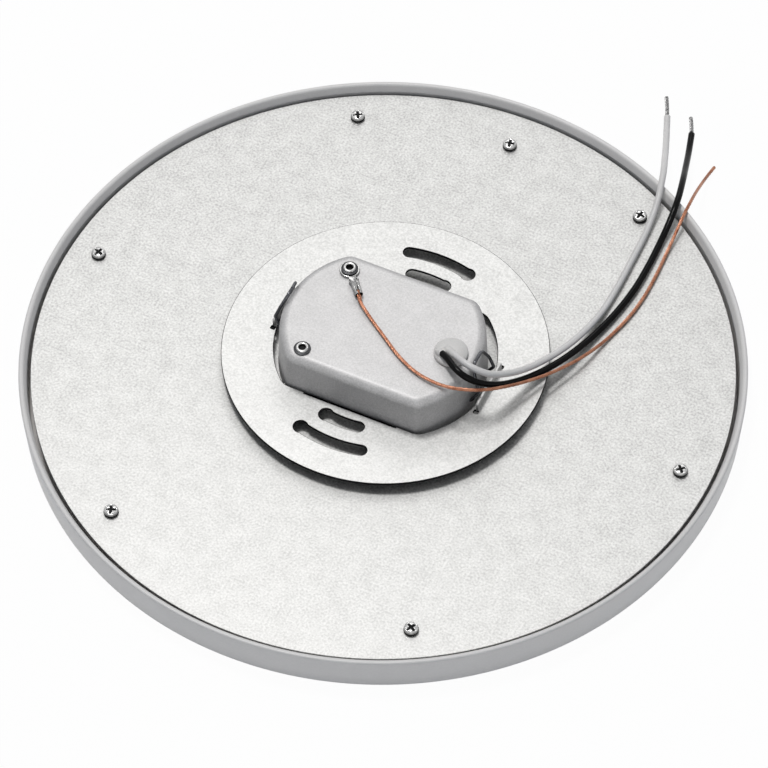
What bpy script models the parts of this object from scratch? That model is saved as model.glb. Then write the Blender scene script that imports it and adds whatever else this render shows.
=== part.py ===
"""A slim round LED flush mount light, lying face down with its back plate and driver box up.

The light's front rests on z = 0 and its ceiling side faces +Z. +X runs along the driver box.
All lengths are in metres.
"""

from math import asin, atan2, ceil, cos, degrees, pi, radians, sin, sqrt, tan

import bmesh
import bpy
import numpy as np
from mathutils import Matrix, Vector

# Gap left between pieces that touch, and how far a cut runs past what it cuts
FIT = 0.0003
OVERRUN = 0.001

# Sides of the large rings, of small round pieces and of the smallest ones
LARGE_SIDES = 80
SMALL_SIDES = 20
TINY_SIDES = 12

# Rim frame: the round bezel that shows from below, with an inward flange round the light opening
RIM_RADIUS = 0.128
RIM_HEIGHT = 0.0144
RIM_CREST_WIDTH = 0.0017
RIM_CREST_ROUND = 0.0005
RIM_SIDE_LEAN = 0.0007
RIM_FOOT_ROUND = 0.0008
RIM_SLOPE_DEPTH = 0.0029
RIM_SLOPE_RUN = 0.0011
RIM_FLANGE = 0.0015
BEZEL_WIDTH = 0.027
BOSS_DIAMETER = 0.007

# Layers of the light, from the front to the back
DIFFUSER_THICKNESS = 0.002
GUIDE_THICKNESS = 0.003
REFLECTOR_THICKNESS = 0.0005
FOAM_THICKNESS = 0.0017
CARRIER_LAP = 0.0042
CARRIER_WALL = 0.001
STRIP_THICKNESS = 0.0008
GUIDE_AIR_GAP = 0.0011

# Back plate and its screws
BACK_PLATE_THICKNESS = 0.001
BACK_PLATE_EDGE_GAP = 0.0012
SCREW_COUNT = 6
SCREW_CIRCLE_GAP = 0.00785
EXTRA_SCREW_GAP = 0.0038
SCREW_DIAMETER = 0.003
SCREW_HEAD_DIAMETER = 0.0052
SCREW_HEAD_HEIGHT = 0.0019
SCREW_LENGTH = 0.008
SCREW_RECESS_DIAMETER = 0.0017
SCREW_RECESS_DEPTH = 0.0008

# Mounting plate, with arc slots on the two common spacings of junction box screws
INNER_SPACING = 0.06985
SPACING_STEP = 0.01905
MOUNT_BORDER = 0.01335
MOUNT_THICKNESS = 0.001
MOUNT_LIFT = 0.0036
MOUNT_SLIP = 0.0020
OPENING_GAP = 0.0025
FLANGE_HALF_LENGTH = 0.018
TAB_FAR_REACH = 0.0093
TAB_NEAR_REACH = (0.0073, 0.0107)
TAB_HEIGHT = 0.0038
NOTCH_WIDTH = 0.0014
NOTCH_DEPTH = 0.0012
SLOT_WIDTH = 0.0044
SLOT_HEAD_DIAMETER = 0.0052
SLOT_HEAD_DEGREES = (10.9, 16.1)
SLOT_TAIL_DEGREES = (9.5, 14.1)

# Driver housing
HOUSING_HEIGHT = 0.0193
HOUSING_SLOT_GAP = 0.008525
HOUSING_END_REACH = 0.0107
HOUSING_END_CURVE = 0.0345
HOUSING_CORNER = 0.003
HOUSING_LEAN = 0.0007
HOUSING_TOP_ROUND = 0.0034
HOUSING_WALL = 0.0012
LEAST_CORNER_SHARE = 0.3

# Rivets through the housing top, and the ring terminal under the first of them
RIVET_INSET = 0.00735
RIVET_SHIFT = -0.00125
RIVET_DIAMETER = 0.003
RIVET_HEAD_DIAMETER = 0.006
RIVET_HEAD_HEIGHT = 0.0010
RIVET_BORE = 0.0024
RIVET_TAIL_DIAMETER = 0.0042
RIVET_TAIL_LENGTH = 0.0014
TERMINAL_DIAMETER = 0.0072
TERMINAL_THICKNESS = 0.0007
TERMINAL_NECK_WIDTH = 0.0026
BARREL_START = 0.0068
BARREL_END = 0.0126
BARREL_DIAMETER = 0.003
BARREL_BORE_DEPTH = 0.0022
TERMINAL_DEGREES = -49.2

# Bracket that the rivets clamp inside the housing
BRACKET_THICKNESS = 0.001
BRACKET_WIDTH = 0.006
BRACKET_SIDE_GAP = 0.0008
BRACKET_END_GAP = 0.0005
BRACKET_BEND = 0.0015
BRACKET_FOOT = 0.005

# Lead bushing in the housing top
BUSHING_INSET = 0.0108
BUSHING_Y = -0.0005
BUSHING_DIAMETER = 0.012
BUSHING_EDGE = 0.0008
BUSHING_CROWN = 0.0016
BUSHING_NECK_DIAMETER = 0.0084
BUSHING_BARB_DIAMETER = 0.0102
BUSHING_BARB = 0.0012

# Leads: insulated supply leads with tinned tips, and a bare copper ground lead
LEAD_DIAMETER = 0.0024
LEAD_EXIT_RISE = 0.0023
TIP_DIAMETER = 0.0015
GROUND_DIAMETER = 0.00124
LEAD_STEP = 0.006
GROUND_STEP = 0.0038
WHITE_ROUTE = (
    (0.0252, -0.0010, 0.0331), (0.0270, -0.0020, 0.0339), (0.0293, -0.0033, 0.0347),
    (0.0338, -0.0056, 0.0358), (0.0384, -0.0063, 0.0356), (0.0424, -0.0050, 0.0338),
    (0.0455, -0.0012, 0.0307), (0.0484, 0.0046, 0.0266), (0.0511, 0.0118, 0.0224),
    (0.0536, 0.0189, 0.0194), (0.0565, 0.0261, 0.0179), (0.0592, 0.0360, 0.0157),
    (0.0615, 0.0507, 0.0131), (0.0621, 0.0634, 0.0128), (0.0620, 0.0764, 0.0128),
    (0.0617, 0.0901, 0.0128), (0.0610, 0.0995, 0.0137), (0.0601, 0.1065, 0.0157),
    (0.0588, 0.1119, 0.0162), (0.0568, 0.1190, 0.0148), (0.0538, 0.1279, 0.0102),
    (0.0505, 0.1375, 0.0050), (0.0472, 0.1466, 0.0018), (0.0440, 0.1550, 0.0014),
)
WHITE_TIP = ((0.0440, 0.1550, 0.0014), (0.0421, 0.1595, 0.0012), (0.0400, 0.1640, 0.0010))
BLACK_ROUTE = (
    (0.0230, -0.0029, 0.0331), (0.0248, -0.0039, 0.0338), (0.0270, -0.0054, 0.0346),
    (0.0312, -0.0085, 0.0353), (0.0351, -0.0100, 0.0349), (0.0388, -0.0094, 0.0331),
    (0.0424, -0.0066, 0.0298), (0.0459, -0.0021, 0.0261), (0.0491, 0.0038, 0.0225),
    (0.0521, 0.0099, 0.0197), (0.0556, 0.0170, 0.0178), (0.0589, 0.0251, 0.0162),
    (0.0626, 0.0385, 0.0134), (0.0660, 0.0525, 0.0128), (0.0679, 0.0655, 0.0128),
    (0.0683, 0.0775, 0.0128), (0.0680, 0.0899, 0.0130), (0.0678, 0.0980, 0.0144),
    (0.0675, 0.1040, 0.0161), (0.0667, 0.1095, 0.0162), (0.0646, 0.1185, 0.0138),
    (0.0617, 0.1290, 0.0084), (0.0585, 0.1405, 0.0032), (0.0565, 0.1475, 0.0016),
    (0.0555, 0.1510, 0.0014),
)
BLACK_TIP = ((0.0555, 0.1510, 0.0014), (0.0539, 0.1548, 0.0012), (0.0521, 0.1585, 0.0010))
GROUND_ROUTE = (
    (-0.0143, 0.0097, 0.0326), (-0.0129, 0.0080, 0.0326), (-0.0114, 0.0058, 0.0325),
    (-0.0070, 0.0024, 0.0320), (0.0021, -0.0039, 0.0318), (0.0111, -0.0099, 0.0318),
    (0.0195, -0.0137, 0.0319), (0.0276, -0.0151, 0.0322), (0.0335, -0.0148, 0.0325),
    (0.0393, -0.0127, 0.0321), (0.0439, -0.0088, 0.0302), (0.0477, -0.0032, 0.0271),
    (0.0511, 0.0030, 0.0236), (0.0546, 0.0094, 0.0207), (0.0578, 0.0154, 0.0186),
    (0.0635, 0.0276, 0.0154), (0.0676, 0.0410, 0.0124), (0.0710, 0.0545, 0.0122),
    (0.0722, 0.0646, 0.0122), (0.0723, 0.0754, 0.0122), (0.0718, 0.0880, 0.0126),
    (0.0716, 0.0985, 0.0148), (0.0715, 0.1035, 0.0155), (0.0711, 0.1105, 0.0144),
    (0.0699, 0.1200, 0.0094), (0.0690, 0.1295, 0.0042), (0.0688, 0.1360, 0.0014),
    (0.0692, 0.1400, 0.0008),
)

# Wire spring clips, hooked through the end walls of the housing
CLIP_WIRE = 0.0012
CLIP_SHIFT = 0.0009
CLIP_AXIS_INSET = 0.0031
CLIP_AXIS_HEIGHT = 0.0052
CLIP_HALF_SPREAD = 0.007
CLIP_ARM = 0.0035
CLIP_HOLE_CLEARANCE = 0.0005
CLIP_BEND = 0.0011
CLIP_BOW_BEND = 0.0026
CLIP_LEG_REACH = 0.0026
CLIP_ELBOW_REACH = 0.0054
CLIP_ELBOW_RISE = 0.0053
CLIP_ELBOW_HALF_SPREAD = 0.0061
CLIP_SIDE_REACH = 0.0045
CLIP_SIDE_DROP = 0.004
CLIP_SIDE_HALF_SPREAD = 0.0054
CLIP_SHOULDER_REACH = 0.0030
CLIP_SHOULDER_DROP = 0.0008
CLIP_SHOULDER_HALF_SPREAD = 0.0044
CLIP_CROWN_REACH = 0.0017
CLIP_CROWN_RISE = 0.0012
CLIP_CROWN_HALF_SPREAD = 0.0033

# Circuit board, the tray under it and what stands on it
BOARD_THICKNESS = 0.0016
BOARD_END_GAP = 0.0038
BOARD_SIDE_GAP = 0.0012
TRAY_HEIGHT = 0.0026
TRAY_FLOOR = 0.0005
TRAY_RIM = 0.001
TRAY_GAP = 0.0012
TRAY_END_INSET = 0.003
TRANSFORMER_PLAN = (0.015, 0.013)
TRANSFORMER_HEADROOM = 0.0033
TRANSFORMER_PLACE_SHARES = (-0.07, 0.30)
BULK_CAPACITOR_DIAMETER = 0.010
BULK_CAPACITOR_HEADROOM = 0.0018
BULK_CAPACITOR_PLACE_SHARES = (0.45, 0.55)
OUTPUT_CAPACITOR_DIAMETER = 0.008
OUTPUT_CAPACITOR_HEADROOM = 0.0033
OUTPUT_CAPACITOR_PLACE_SHARES = (-0.60, 0.10)
FILM_CAPACITOR_SIZE = (0.012, 0.005, 0.009)
FILM_CAPACITOR_PLACE_SHARES = (0.48, -0.62)
CHOKE_DIAMETER = 0.008
CHOKE_HEIGHT = 0.007
CHOKE_FLANGE = 0.0012
CHOKE_WAIST_SHARE = 0.8
CHOKE_PLACE_SHARES = (0.05, -0.58)
RECTIFIER_SIZE = (0.0048, 0.004, 0.0024)
RECTIFIER_PLACE_SHARES = (0.45, -0.10)
CHIP_SIZE = (0.005, 0.004, 0.0015)
CHIP_PLACE_SHARES = (-0.30, -0.45)
FUSE_DIAMETER = 0.0034
FUSE_LENGTH = 0.0085
FUSE_PLACE_SHARES = (-0.60, -0.62)

# Leads between the board and the light strip
LED_LEAD_DIAMETER = 0.0008
LED_LEAD_SPACING = 0.0018
LED_LEAD_BEND = 0.0018
LED_LEAD_X = -0.012
LED_LEAD_HOLE = 0.005
FOAM_CHANNEL_WIDTH = 0.0044

# Heights of the layers, each resting on the one below
DIFFUSER_BOTTOM = RIM_FLANGE + FIT
GUIDE_BOTTOM = DIFFUSER_BOTTOM + DIFFUSER_THICKNESS + FIT
REFLECTOR_BOTTOM = GUIDE_BOTTOM + GUIDE_THICKNESS + FIT
FOAM_BOTTOM = REFLECTOR_BOTTOM + REFLECTOR_THICKNESS + FIT
FOAM_TOP = FOAM_BOTTOM + FOAM_THICKNESS
BACK_PLATE_BOTTOM = FOAM_TOP + FIT
BACK_PLATE_TOP = BACK_PLATE_BOTTOM + BACK_PLATE_THICKNESS
HOUSING_BOTTOM = BACK_PLATE_TOP + FIT
HOUSING_TOP = HOUSING_BOTTOM + HOUSING_HEIGHT
HOUSING_CEILING = HOUSING_TOP - HOUSING_WALL
MOUNT_BOTTOM = BACK_PLATE_TOP + MOUNT_LIFT
TRAY_BOTTOM = BACK_PLATE_TOP + FIT
BOARD_BOTTOM = TRAY_BOTTOM + TRAY_HEIGHT + FIT
PARTS_BOTTOM = BOARD_BOTTOM + BOARD_THICKNESS + FIT

CARRIER_HEIGHT = FOAM_TOP - DIFFUSER_BOTTOM

# Radii and widths that follow from what carries them
RIM_INNER_RADIUS = RIM_RADIUS - RIM_CREST_WIDTH - RIM_SLOPE_RUN
LIGHT_OPENING_RADIUS = RIM_RADIUS - BEZEL_WIDTH
CARRIER_RADIUS = LIGHT_OPENING_RADIUS + CARRIER_LAP
SCREW_CIRCLE_RADIUS = CARRIER_RADIUS + SCREW_CIRCLE_GAP
EXTRA_SCREW_RADIUS = CARRIER_RADIUS + EXTRA_SCREW_GAP
BACK_PLATE_RADIUS = RIM_INNER_RADIUS - BACK_PLATE_EDGE_GAP
CARRIER_INNER_RADIUS = CARRIER_RADIUS - CARRIER_WALL
STRIP_RADIUS = CARRIER_INNER_RADIUS - FIT
GUIDE_RADIUS = STRIP_RADIUS - STRIP_THICKNESS - GUIDE_AIR_GAP
HOLE_DIAMETER = SCREW_DIAMETER + 2 * FIT
RIVET_HOLE = RIVET_DIAMETER + 2 * FIT
INNER_SLOT_RADIUS = INNER_SPACING / 2
OUTER_SLOT_RADIUS = (INNER_SPACING + SPACING_STEP) / 2
MOUNT_RADIUS = OUTER_SLOT_RADIUS + MOUNT_BORDER
HOUSING_HALF_WIDTH = INNER_SLOT_RADIUS - HOUSING_SLOT_GAP
HOUSING_END_RADIUS = HOUSING_HALF_WIDTH + HOUSING_END_REACH
OPENING_HALF_WIDTH = HOUSING_HALF_WIDTH + OPENING_GAP
OPENING_END = HOUSING_END_RADIUS + OPENING_GAP
HOUSING_INNER_HALF_WIDTH = HOUSING_HALF_WIDTH - HOUSING_LEAN - HOUSING_WALL
BRACKET_HALF_WIDTH = HOUSING_INNER_HALF_WIDTH - BRACKET_SIDE_GAP
BOARD_HALF_LENGTH = HOUSING_END_RADIUS - HOUSING_WALL - BOARD_END_GAP
BOARD_HALF_WIDTH = BRACKET_HALF_WIDTH - BRACKET_THICKNESS - BOARD_SIDE_GAP
TRAY_HALF_LENGTH = BOARD_HALF_LENGTH - TRAY_END_INSET
TRAY_HALF_WIDTH = BRACKET_HALF_WIDTH - BRACKET_FOOT - TRAY_GAP
BRACKET_END_CURVE = HOUSING_END_CURVE - HOUSING_LEAN - HOUSING_WALL - BRACKET_END_GAP
BRACKET_END = HOUSING_END_RADIUS - HOUSING_END_CURVE + sqrt(BRACKET_END_CURVE**2 - BRACKET_HALF_WIDTH**2)
RIVET_X = BRACKET_WIDTH / 2 - BRACKET_END
RIVET_YS = tuple(side * (HOUSING_HALF_WIDTH - RIVET_INSET) + RIVET_SHIFT for side in (1, -1))
BUSHING_X = HOUSING_END_RADIUS - BUSHING_INSET
CLIP_AXIS_X = HOUSING_END_RADIUS - CLIP_AXIS_INSET
CLIP_AXIS_Z = BACK_PLATE_TOP + CLIP_AXIS_HEIGHT
CLIP_TOP_RISE = HOUSING_TOP - CLIP_AXIS_Z
BULK_CAPACITOR_HEIGHT = HOUSING_CEILING - PARTS_BOTTOM - BULK_CAPACITOR_HEADROOM
OUTPUT_CAPACITOR_HEIGHT = HOUSING_CEILING - PARTS_BOTTOM - OUTPUT_CAPACITOR_HEADROOM
TRANSFORMER_HEIGHT = HOUSING_CEILING - PARTS_BOTTOM - TRANSFORMER_HEADROOM

# Finishes: colour, roughness, metallic
PAINT = ((0.60, 0.60, 0.60), 0.45, 0.0)
GALVANISED = ((0.80, 0.80, 0.79), 0.42, 0.9)
SATIN_ALLOY = ((0.62, 0.62, 0.61), 0.5, 0.6)
NICKEL = ((0.70, 0.70, 0.70), 0.25, 1.0)
SPRING_STEEL = ((0.32, 0.33, 0.35), 0.3, 1.0)
TIN = ((0.75, 0.75, 0.74), 0.3, 1.0)
COPPER = ((0.58, 0.25, 0.12), 0.35, 1.0)
OPAL = ((0.85, 0.85, 0.84), 0.4, 0.0)
ACRYLIC = ((0.88, 0.90, 0.90), 0.1, 0.0)
WHITE_FILM = ((0.88, 0.88, 0.88), 0.6, 0.0)
GREY_FOAM = ((0.25, 0.25, 0.25), 0.9, 0.0)
NYLON = ((0.72, 0.72, 0.71), 0.4, 0.0)
WHITE_PVC = ((0.68, 0.68, 0.68), 0.45, 0.0)
BLACK_PVC = ((0.01, 0.01, 0.01), 0.4, 0.0)
RED_PVC = ((0.45, 0.02, 0.02), 0.45, 0.0)
BOARD_GREEN = ((0.04, 0.20, 0.08), 0.5, 0.0)
BLACK_RESIN = ((0.02, 0.02, 0.02), 0.5, 0.0)
BLACK_SLEEVE = ((0.03, 0.03, 0.04), 0.4, 0.0)
YELLOW_TAPE = ((0.70, 0.55, 0.08), 0.5, 0.0)
FILM_BLUE = ((0.06, 0.15, 0.40), 0.4, 0.0)
FERRITE = ((0.08, 0.08, 0.08), 0.6, 0.0)


def clear_scene():
    for old in list(bpy.data.objects):
        bpy.data.objects.remove(old)


def add_node(name, data, finish, location=(0, 0, 0), turn=0):
    """A named object with its own material, turned about Z in degrees."""
    node = bpy.data.objects.new(name, data)
    bpy.context.scene.collection.objects.link(node)
    node.location = location
    node.rotation_euler = (0, 0, radians(turn))
    colour, roughness, metallic = finish
    material = bpy.data.materials.new(name)
    material.use_nodes = True
    shader = material.node_tree.nodes["Principled BSDF"]
    shader.inputs["Base Color"].default_value = (*colour, 1)
    shader.inputs["Roughness"].default_value = roughness
    shader.inputs["Metallic"].default_value = metallic
    material.diffuse_color = (*colour, 1)
    data.materials.append(material)
    return node


def finished(body, smooth=True):
    """A mesh from a bmesh, with its faces pointing outwards."""
    bmesh.ops.recalc_face_normals(body, faces=body.faces)
    mesh = bpy.data.meshes.new("shape")
    body.to_mesh(mesh)
    body.free()
    if smooth:
        mesh.shade_smooth()
        mesh.set_sharp_from_angle(angle=radians(35))
    return mesh


def lofted(rows, ring=False):
    """A closed mesh through rows of points, capped at its two ends or joined into a ring."""
    body = bmesh.new()
    loops = [[body.verts.new(point) for point in row] for row in rows]
    pairs = list(zip(loops, loops[1:]))
    if ring:
        pairs.append((loops[-1], loops[0]))
    else:
        body.faces.new(loops[0])
        body.faces.new(loops[-1])
    for low, high in pairs:
        for i in range(len(low)):
            body.faces.new((low[i - 1], low[i], high[i], high[i - 1]))
    return finished(body)


def circle(radius, sides, centre=(0, 0)):
    """Points (x, y) round a circle."""
    angles = [2 * pi * i / sides for i in range(sides)]
    return [(centre[0] + radius * cos(a), centre[1] + radius * sin(a)) for a in angles]


def turned(profile, sides, ring=False):
    """A mesh turned round Z from (radius, height) points."""
    return lofted([[(x, y, height) for x, y in circle(radius, sides)] for radius, height in profile], ring)


def slab(outline, holes, thickness, bottom=0):
    """A flat plate with holes through it, from (x, y) points."""
    body = bmesh.new()
    edges = []
    for loop in (outline, *holes):
        corners = [body.verts.new((x, y, bottom)) for x, y in loop]
        edges += [body.edges.new((corners[i - 1], corners[i])) for i in range(len(corners))]
    bmesh.ops.triangle_fill(body, use_beauty=True, edges=edges)
    raised = bmesh.ops.extrude_face_region(body, geom=body.faces[:])["geom"]
    corners = [item for item in raised if isinstance(item, bmesh.types.BMVert)]
    bmesh.ops.translate(body, verts=corners, vec=(0, 0, thickness))
    return finished(body)


def block(size, centre=(0, 0, 0)):
    """A box mesh round a centre."""
    body = bmesh.new()
    bmesh.ops.create_cube(body, size=1)
    bmesh.ops.scale(body, vec=size, verts=body.verts)
    bmesh.ops.translate(body, vec=centre, verts=body.verts)
    return finished(body, smooth=False)


def rod(diameter, bottom, top, sides, centre=(0, 0)):
    """An upright cylinder."""
    return lofted([[(x, y, z) for x, y in circle(diameter / 2, sides, centre)] for z in (bottom, top)])


def shaped(mesh, tools, operation):
    """The mesh after each tool mesh is cut from it (DIFFERENCE) or joined to it (UNION)."""
    for tool_mesh in tools:
        body = bpy.data.objects.new("body", mesh)
        tool = bpy.data.objects.new("tool", tool_mesh)
        for item in (body, tool):
            bpy.context.scene.collection.objects.link(item)
        step = body.modifiers.new("shape", "BOOLEAN")
        step.operation = operation
        step.solver = "EXACT"
        step.object = tool
        graph = bpy.context.evaluated_depsgraph_get()
        mesh = bpy.data.meshes.new_from_object(body.evaluated_get(graph))
        for item in (body, tool):
            bpy.data.objects.remove(item)
    mesh.shade_smooth()
    mesh.set_sharp_from_angle(angle=radians(35))
    return mesh


def smooth_route(points, step):
    """Evenly spaced points on a centripetal Catmull-Rom curve through the route's points."""
    route = np.array(points, float)
    route = np.vstack([2 * route[0] - route[1], route, 2 * route[-1] - route[-2]])
    knots = np.concatenate([[0], np.cumsum(np.linalg.norm(np.diff(route, axis=0), axis=1) ** 0.5)])
    dense = []
    for i in range(1, len(route) - 2):
        t = np.linspace(knots[i], knots[i + 1], 24, endpoint=False)[:, None]
        near = [
            (route[j] * (knots[j + 1] - t) + route[j + 1] * (t - knots[j])) / (knots[j + 1] - knots[j])
            for j in (i - 1, i, i + 1)
        ]
        wide = [
            (near[j] * (knots[i + 1 + j] - t) + near[j + 1] * (t - knots[i - 1 + j]))
            / (knots[i + 1 + j] - knots[i - 1 + j])
            for j in (0, 1)
        ]
        dense.append((wide[0] * (knots[i + 1] - t) + wide[1] * (t - knots[i])) / (knots[i + 1] - knots[i]))
    dense = np.vstack([*dense, route[-2]])
    run = np.concatenate([[0], np.cumsum(np.linalg.norm(np.diff(dense, axis=0), axis=1))])
    places = np.linspace(0, run[-1], ceil(run[-1] / step) + 1)
    return np.stack([np.interp(places, run, dense[:, k]) for k in range(3)], axis=1)


def bent_path(points, radii, steps=3):
    """The points of a bent wire, each inner corner rounded to its radius."""
    path = [Vector(points[0])]
    for before, corner, after, radius in zip(points, points[1:], points[2:], radii):
        corner = Vector(corner)
        back = Vector(before) - corner
        ahead = Vector(after) - corner
        half = back.angle(ahead) / 2
        reach = min(radius / tan(half), back.length / 2, ahead.length / 2)
        back.normalize()
        ahead.normalize()
        centre = corner + (back + ahead).normalized() * reach / cos(half)
        first = corner + back * reach - centre
        last = corner + ahead * reach - centre
        sweep = first.angle(last)
        for i in range(steps + 1):
            share = i / steps
            mix = first * sin((1 - share) * sweep) + last * sin(share * sweep)
            path.append(centre + mix / sin(sweep))
    path.append(Vector(points[-1]))
    return path


def wire_curve(points, diameter):
    """A round wire along points, with closed ends."""
    curve = bpy.data.curves.new("wire", "CURVE")
    curve.dimensions = "3D"
    curve.bevel_depth = diameter / 2
    curve.bevel_resolution = 2
    curve.use_fill_caps = True
    spline = curve.splines.new("POLY")
    spline.points.add(len(points) - 1)
    for knot, place in zip(spline.points, points):
        knot.co = (*place, 1)
    return curve


def screw_places():
    """Places (x, y) of the back plate screws: an even circle and one more between two of them."""
    return [*circle(SCREW_CIRCLE_RADIUS, SCREW_COUNT), (0, EXTRA_SCREW_RADIUS)]


def arc_points(centre, radius, start, stop, steps):
    """Points (x, y) along an arc between two angles in degrees, both ends included."""
    angles = [radians(start + (stop - start) * i / steps) for i in range(steps + 1)]
    return [(centre[0] + radius * cos(a), centre[1] + radius * sin(a)) for a in angles]


def box_outline(end, half_width, curve, corner):
    """The housing's plan: two long sides and two curved ends, with rounded corners between them."""
    centre = end - curve
    height = half_width - corner
    along = sqrt((curve - corner) ** 2 - height**2)
    meet = degrees(atan2(height, along))
    quarter = arc_points((centre + along, height), corner, 90, meet, 4)
    end = arc_points((centre, 0), curve, meet, -meet, 14)[1:-1]
    lower = [(x, -y) for x, y in reversed(quarter)]
    right = [*quarter, *end, *lower]
    return [*right, *((-x, -y) for x, y in right)]


def rim_frame():
    """The bezel: a turned section, with a boss under each screw."""
    crest = RIM_HEIGHT - RIM_CREST_ROUND
    side_radius = RIM_RADIUS - RIM_SIDE_LEAN
    foot_centre = (side_radius - RIM_FOOT_ROUND, RIM_FOOT_ROUND)
    section = [
        (LIGHT_OPENING_RADIUS, 0),
        *arc_points(foot_centre, RIM_FOOT_ROUND, -90, 0, 5),
        (RIM_RADIUS, crest),
        (RIM_RADIUS - RIM_CREST_ROUND, RIM_HEIGHT),
        (RIM_RADIUS - RIM_CREST_WIDTH, RIM_HEIGHT),
        (RIM_INNER_RADIUS, RIM_HEIGHT - RIM_SLOPE_DEPTH),
        (RIM_INNER_RADIUS, RIM_FLANGE),
        (LIGHT_OPENING_RADIUS, RIM_FLANGE),
    ]
    mesh = turned(section, LARGE_SIDES, ring=True)
    flange_middle = RIM_FLANGE / 2
    boss_top = BACK_PLATE_BOTTOM - FIT
    places = screw_places()
    bosses = [rod(BOSS_DIAMETER, flange_middle, boss_top, SMALL_SIDES, place) for place in places]
    holes = [rod(HOLE_DIAMETER, RIM_FLANGE + FIT, boss_top + OVERRUN, TINY_SIDES, place) for place in places]
    mesh = shaped(shaped(mesh, bosses, "UNION"), holes, "DIFFERENCE")
    add_node("rim_frame", mesh, PAINT)


def light_layers():
    """Diffuser, light guide, reflector, foam and the ring that carries the light strip."""
    foam = slab(circle(GUIDE_RADIUS, LARGE_SIDES), [], FOAM_THICKNESS)
    channel_length = GUIDE_RADIUS + OVERRUN + LED_LEAD_X + LED_LEAD_HOLE / 2
    channel = block(
        (channel_length, FOAM_CHANNEL_WIDTH, FOAM_THICKNESS + 2 * OVERRUN),
        (channel_length / 2 - GUIDE_RADIUS - OVERRUN, 0, FOAM_THICKNESS / 2),
    )
    foam = shaped(foam, [channel], "DIFFERENCE")
    guide_disc = circle(GUIDE_RADIUS, LARGE_SIDES)
    diffuser_disc = circle(CARRIER_INNER_RADIUS - FIT, LARGE_SIDES)
    add_node("diffuser_lens", slab(diffuser_disc, [], DIFFUSER_THICKNESS), OPAL, (0, 0, DIFFUSER_BOTTOM))
    add_node("light_guide_plate", slab(guide_disc, [], GUIDE_THICKNESS), ACRYLIC, (0, 0, GUIDE_BOTTOM))
    reflector = slab(guide_disc, [], REFLECTOR_THICKNESS)
    add_node("reflector_sheet", reflector, WHITE_FILM, (0, 0, REFLECTOR_BOTTOM))
    add_node("backing_foam", foam, GREY_FOAM, (0, 0, FOAM_BOTTOM))
    for name, radius, wall, bottom, height, finish in (
        ("led_carrier_ring", CARRIER_RADIUS, CARRIER_WALL, DIFFUSER_BOTTOM, CARRIER_HEIGHT, SATIN_ALLOY),
        ("led_strip", STRIP_RADIUS, STRIP_THICKNESS, GUIDE_BOTTOM, GUIDE_THICKNESS, WHITE_FILM),
    ):
        inner = radius - wall
        section = [(radius, 0), (radius, height), (inner, height), (inner, 0)]
        add_node(name, turned(section, LARGE_SIDES, ring=True), finish, (0, 0, bottom))


def back_plate():
    """The flat steel disc that closes the back, with its screws."""
    holes = [circle(HOLE_DIAMETER / 2, TINY_SIDES, place) for place in screw_places()]
    holes.append(circle(LED_LEAD_HOLE / 2, SMALL_SIDES, (LED_LEAD_X, 0)))
    plate = slab(circle(BACK_PLATE_RADIUS, LARGE_SIDES), holes, BACK_PLATE_THICKNESS)
    add_node("back_plate", plate, GALVANISED, (0, 0, BACK_PLATE_BOTTOM))
    head = SCREW_HEAD_DIAMETER / 2
    shank = SCREW_DIAMETER / 2
    recess = SCREW_RECESS_DIAMETER / 2
    section = [
        (shank, -SCREW_LENGTH),
        (shank, 0),
        (head, 0),
        (head, SCREW_HEAD_HEIGHT / 2),
        ((head + recess) / 2, SCREW_HEAD_HEIGHT),
        (recess, SCREW_HEAD_HEIGHT),
        (recess, SCREW_HEAD_HEIGHT - SCREW_RECESS_DEPTH),
    ]
    screw = turned(section, TINY_SIDES)
    for number, (x, y) in enumerate(screw_places(), start=1):
        add_node(f"back_screw_{number}", screw.copy(), NICKEL, (x, y, BACK_PLATE_TOP + FIT))


def slot_outline(radius, head_degrees, tail_degrees):
    """An arc slot round Z over +Y, with a wider round head at its end towards +X."""
    half = SLOT_WIDTH / 2
    head = SLOT_HEAD_DIAMETER / 2
    head_at = 90 - head_degrees
    tail_at = 90 + tail_degrees
    head_centre = (radius * cos(radians(head_at)), radius * sin(radians(head_at)))
    tail_centre = (radius * cos(radians(tail_at)), radius * sin(radians(tail_at)))
    opening = degrees(asin(half / head))
    reach = degrees(sqrt(head**2 - half**2) / radius)
    outer = arc_points((0, 0), radius + half, tail_at, head_at + reach, 10)
    inner = arc_points((0, 0), radius - half, head_at + reach, tail_at, 10)
    cap = arc_points(head_centre, head, head_at + 90 - opening, head_at - 270 + opening, 12)
    end = arc_points(tail_centre, half, tail_at + 180, tail_at, 6)
    return [*outer[:-1], *cap, *inner[1:], *end[1:-1]]


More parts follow.
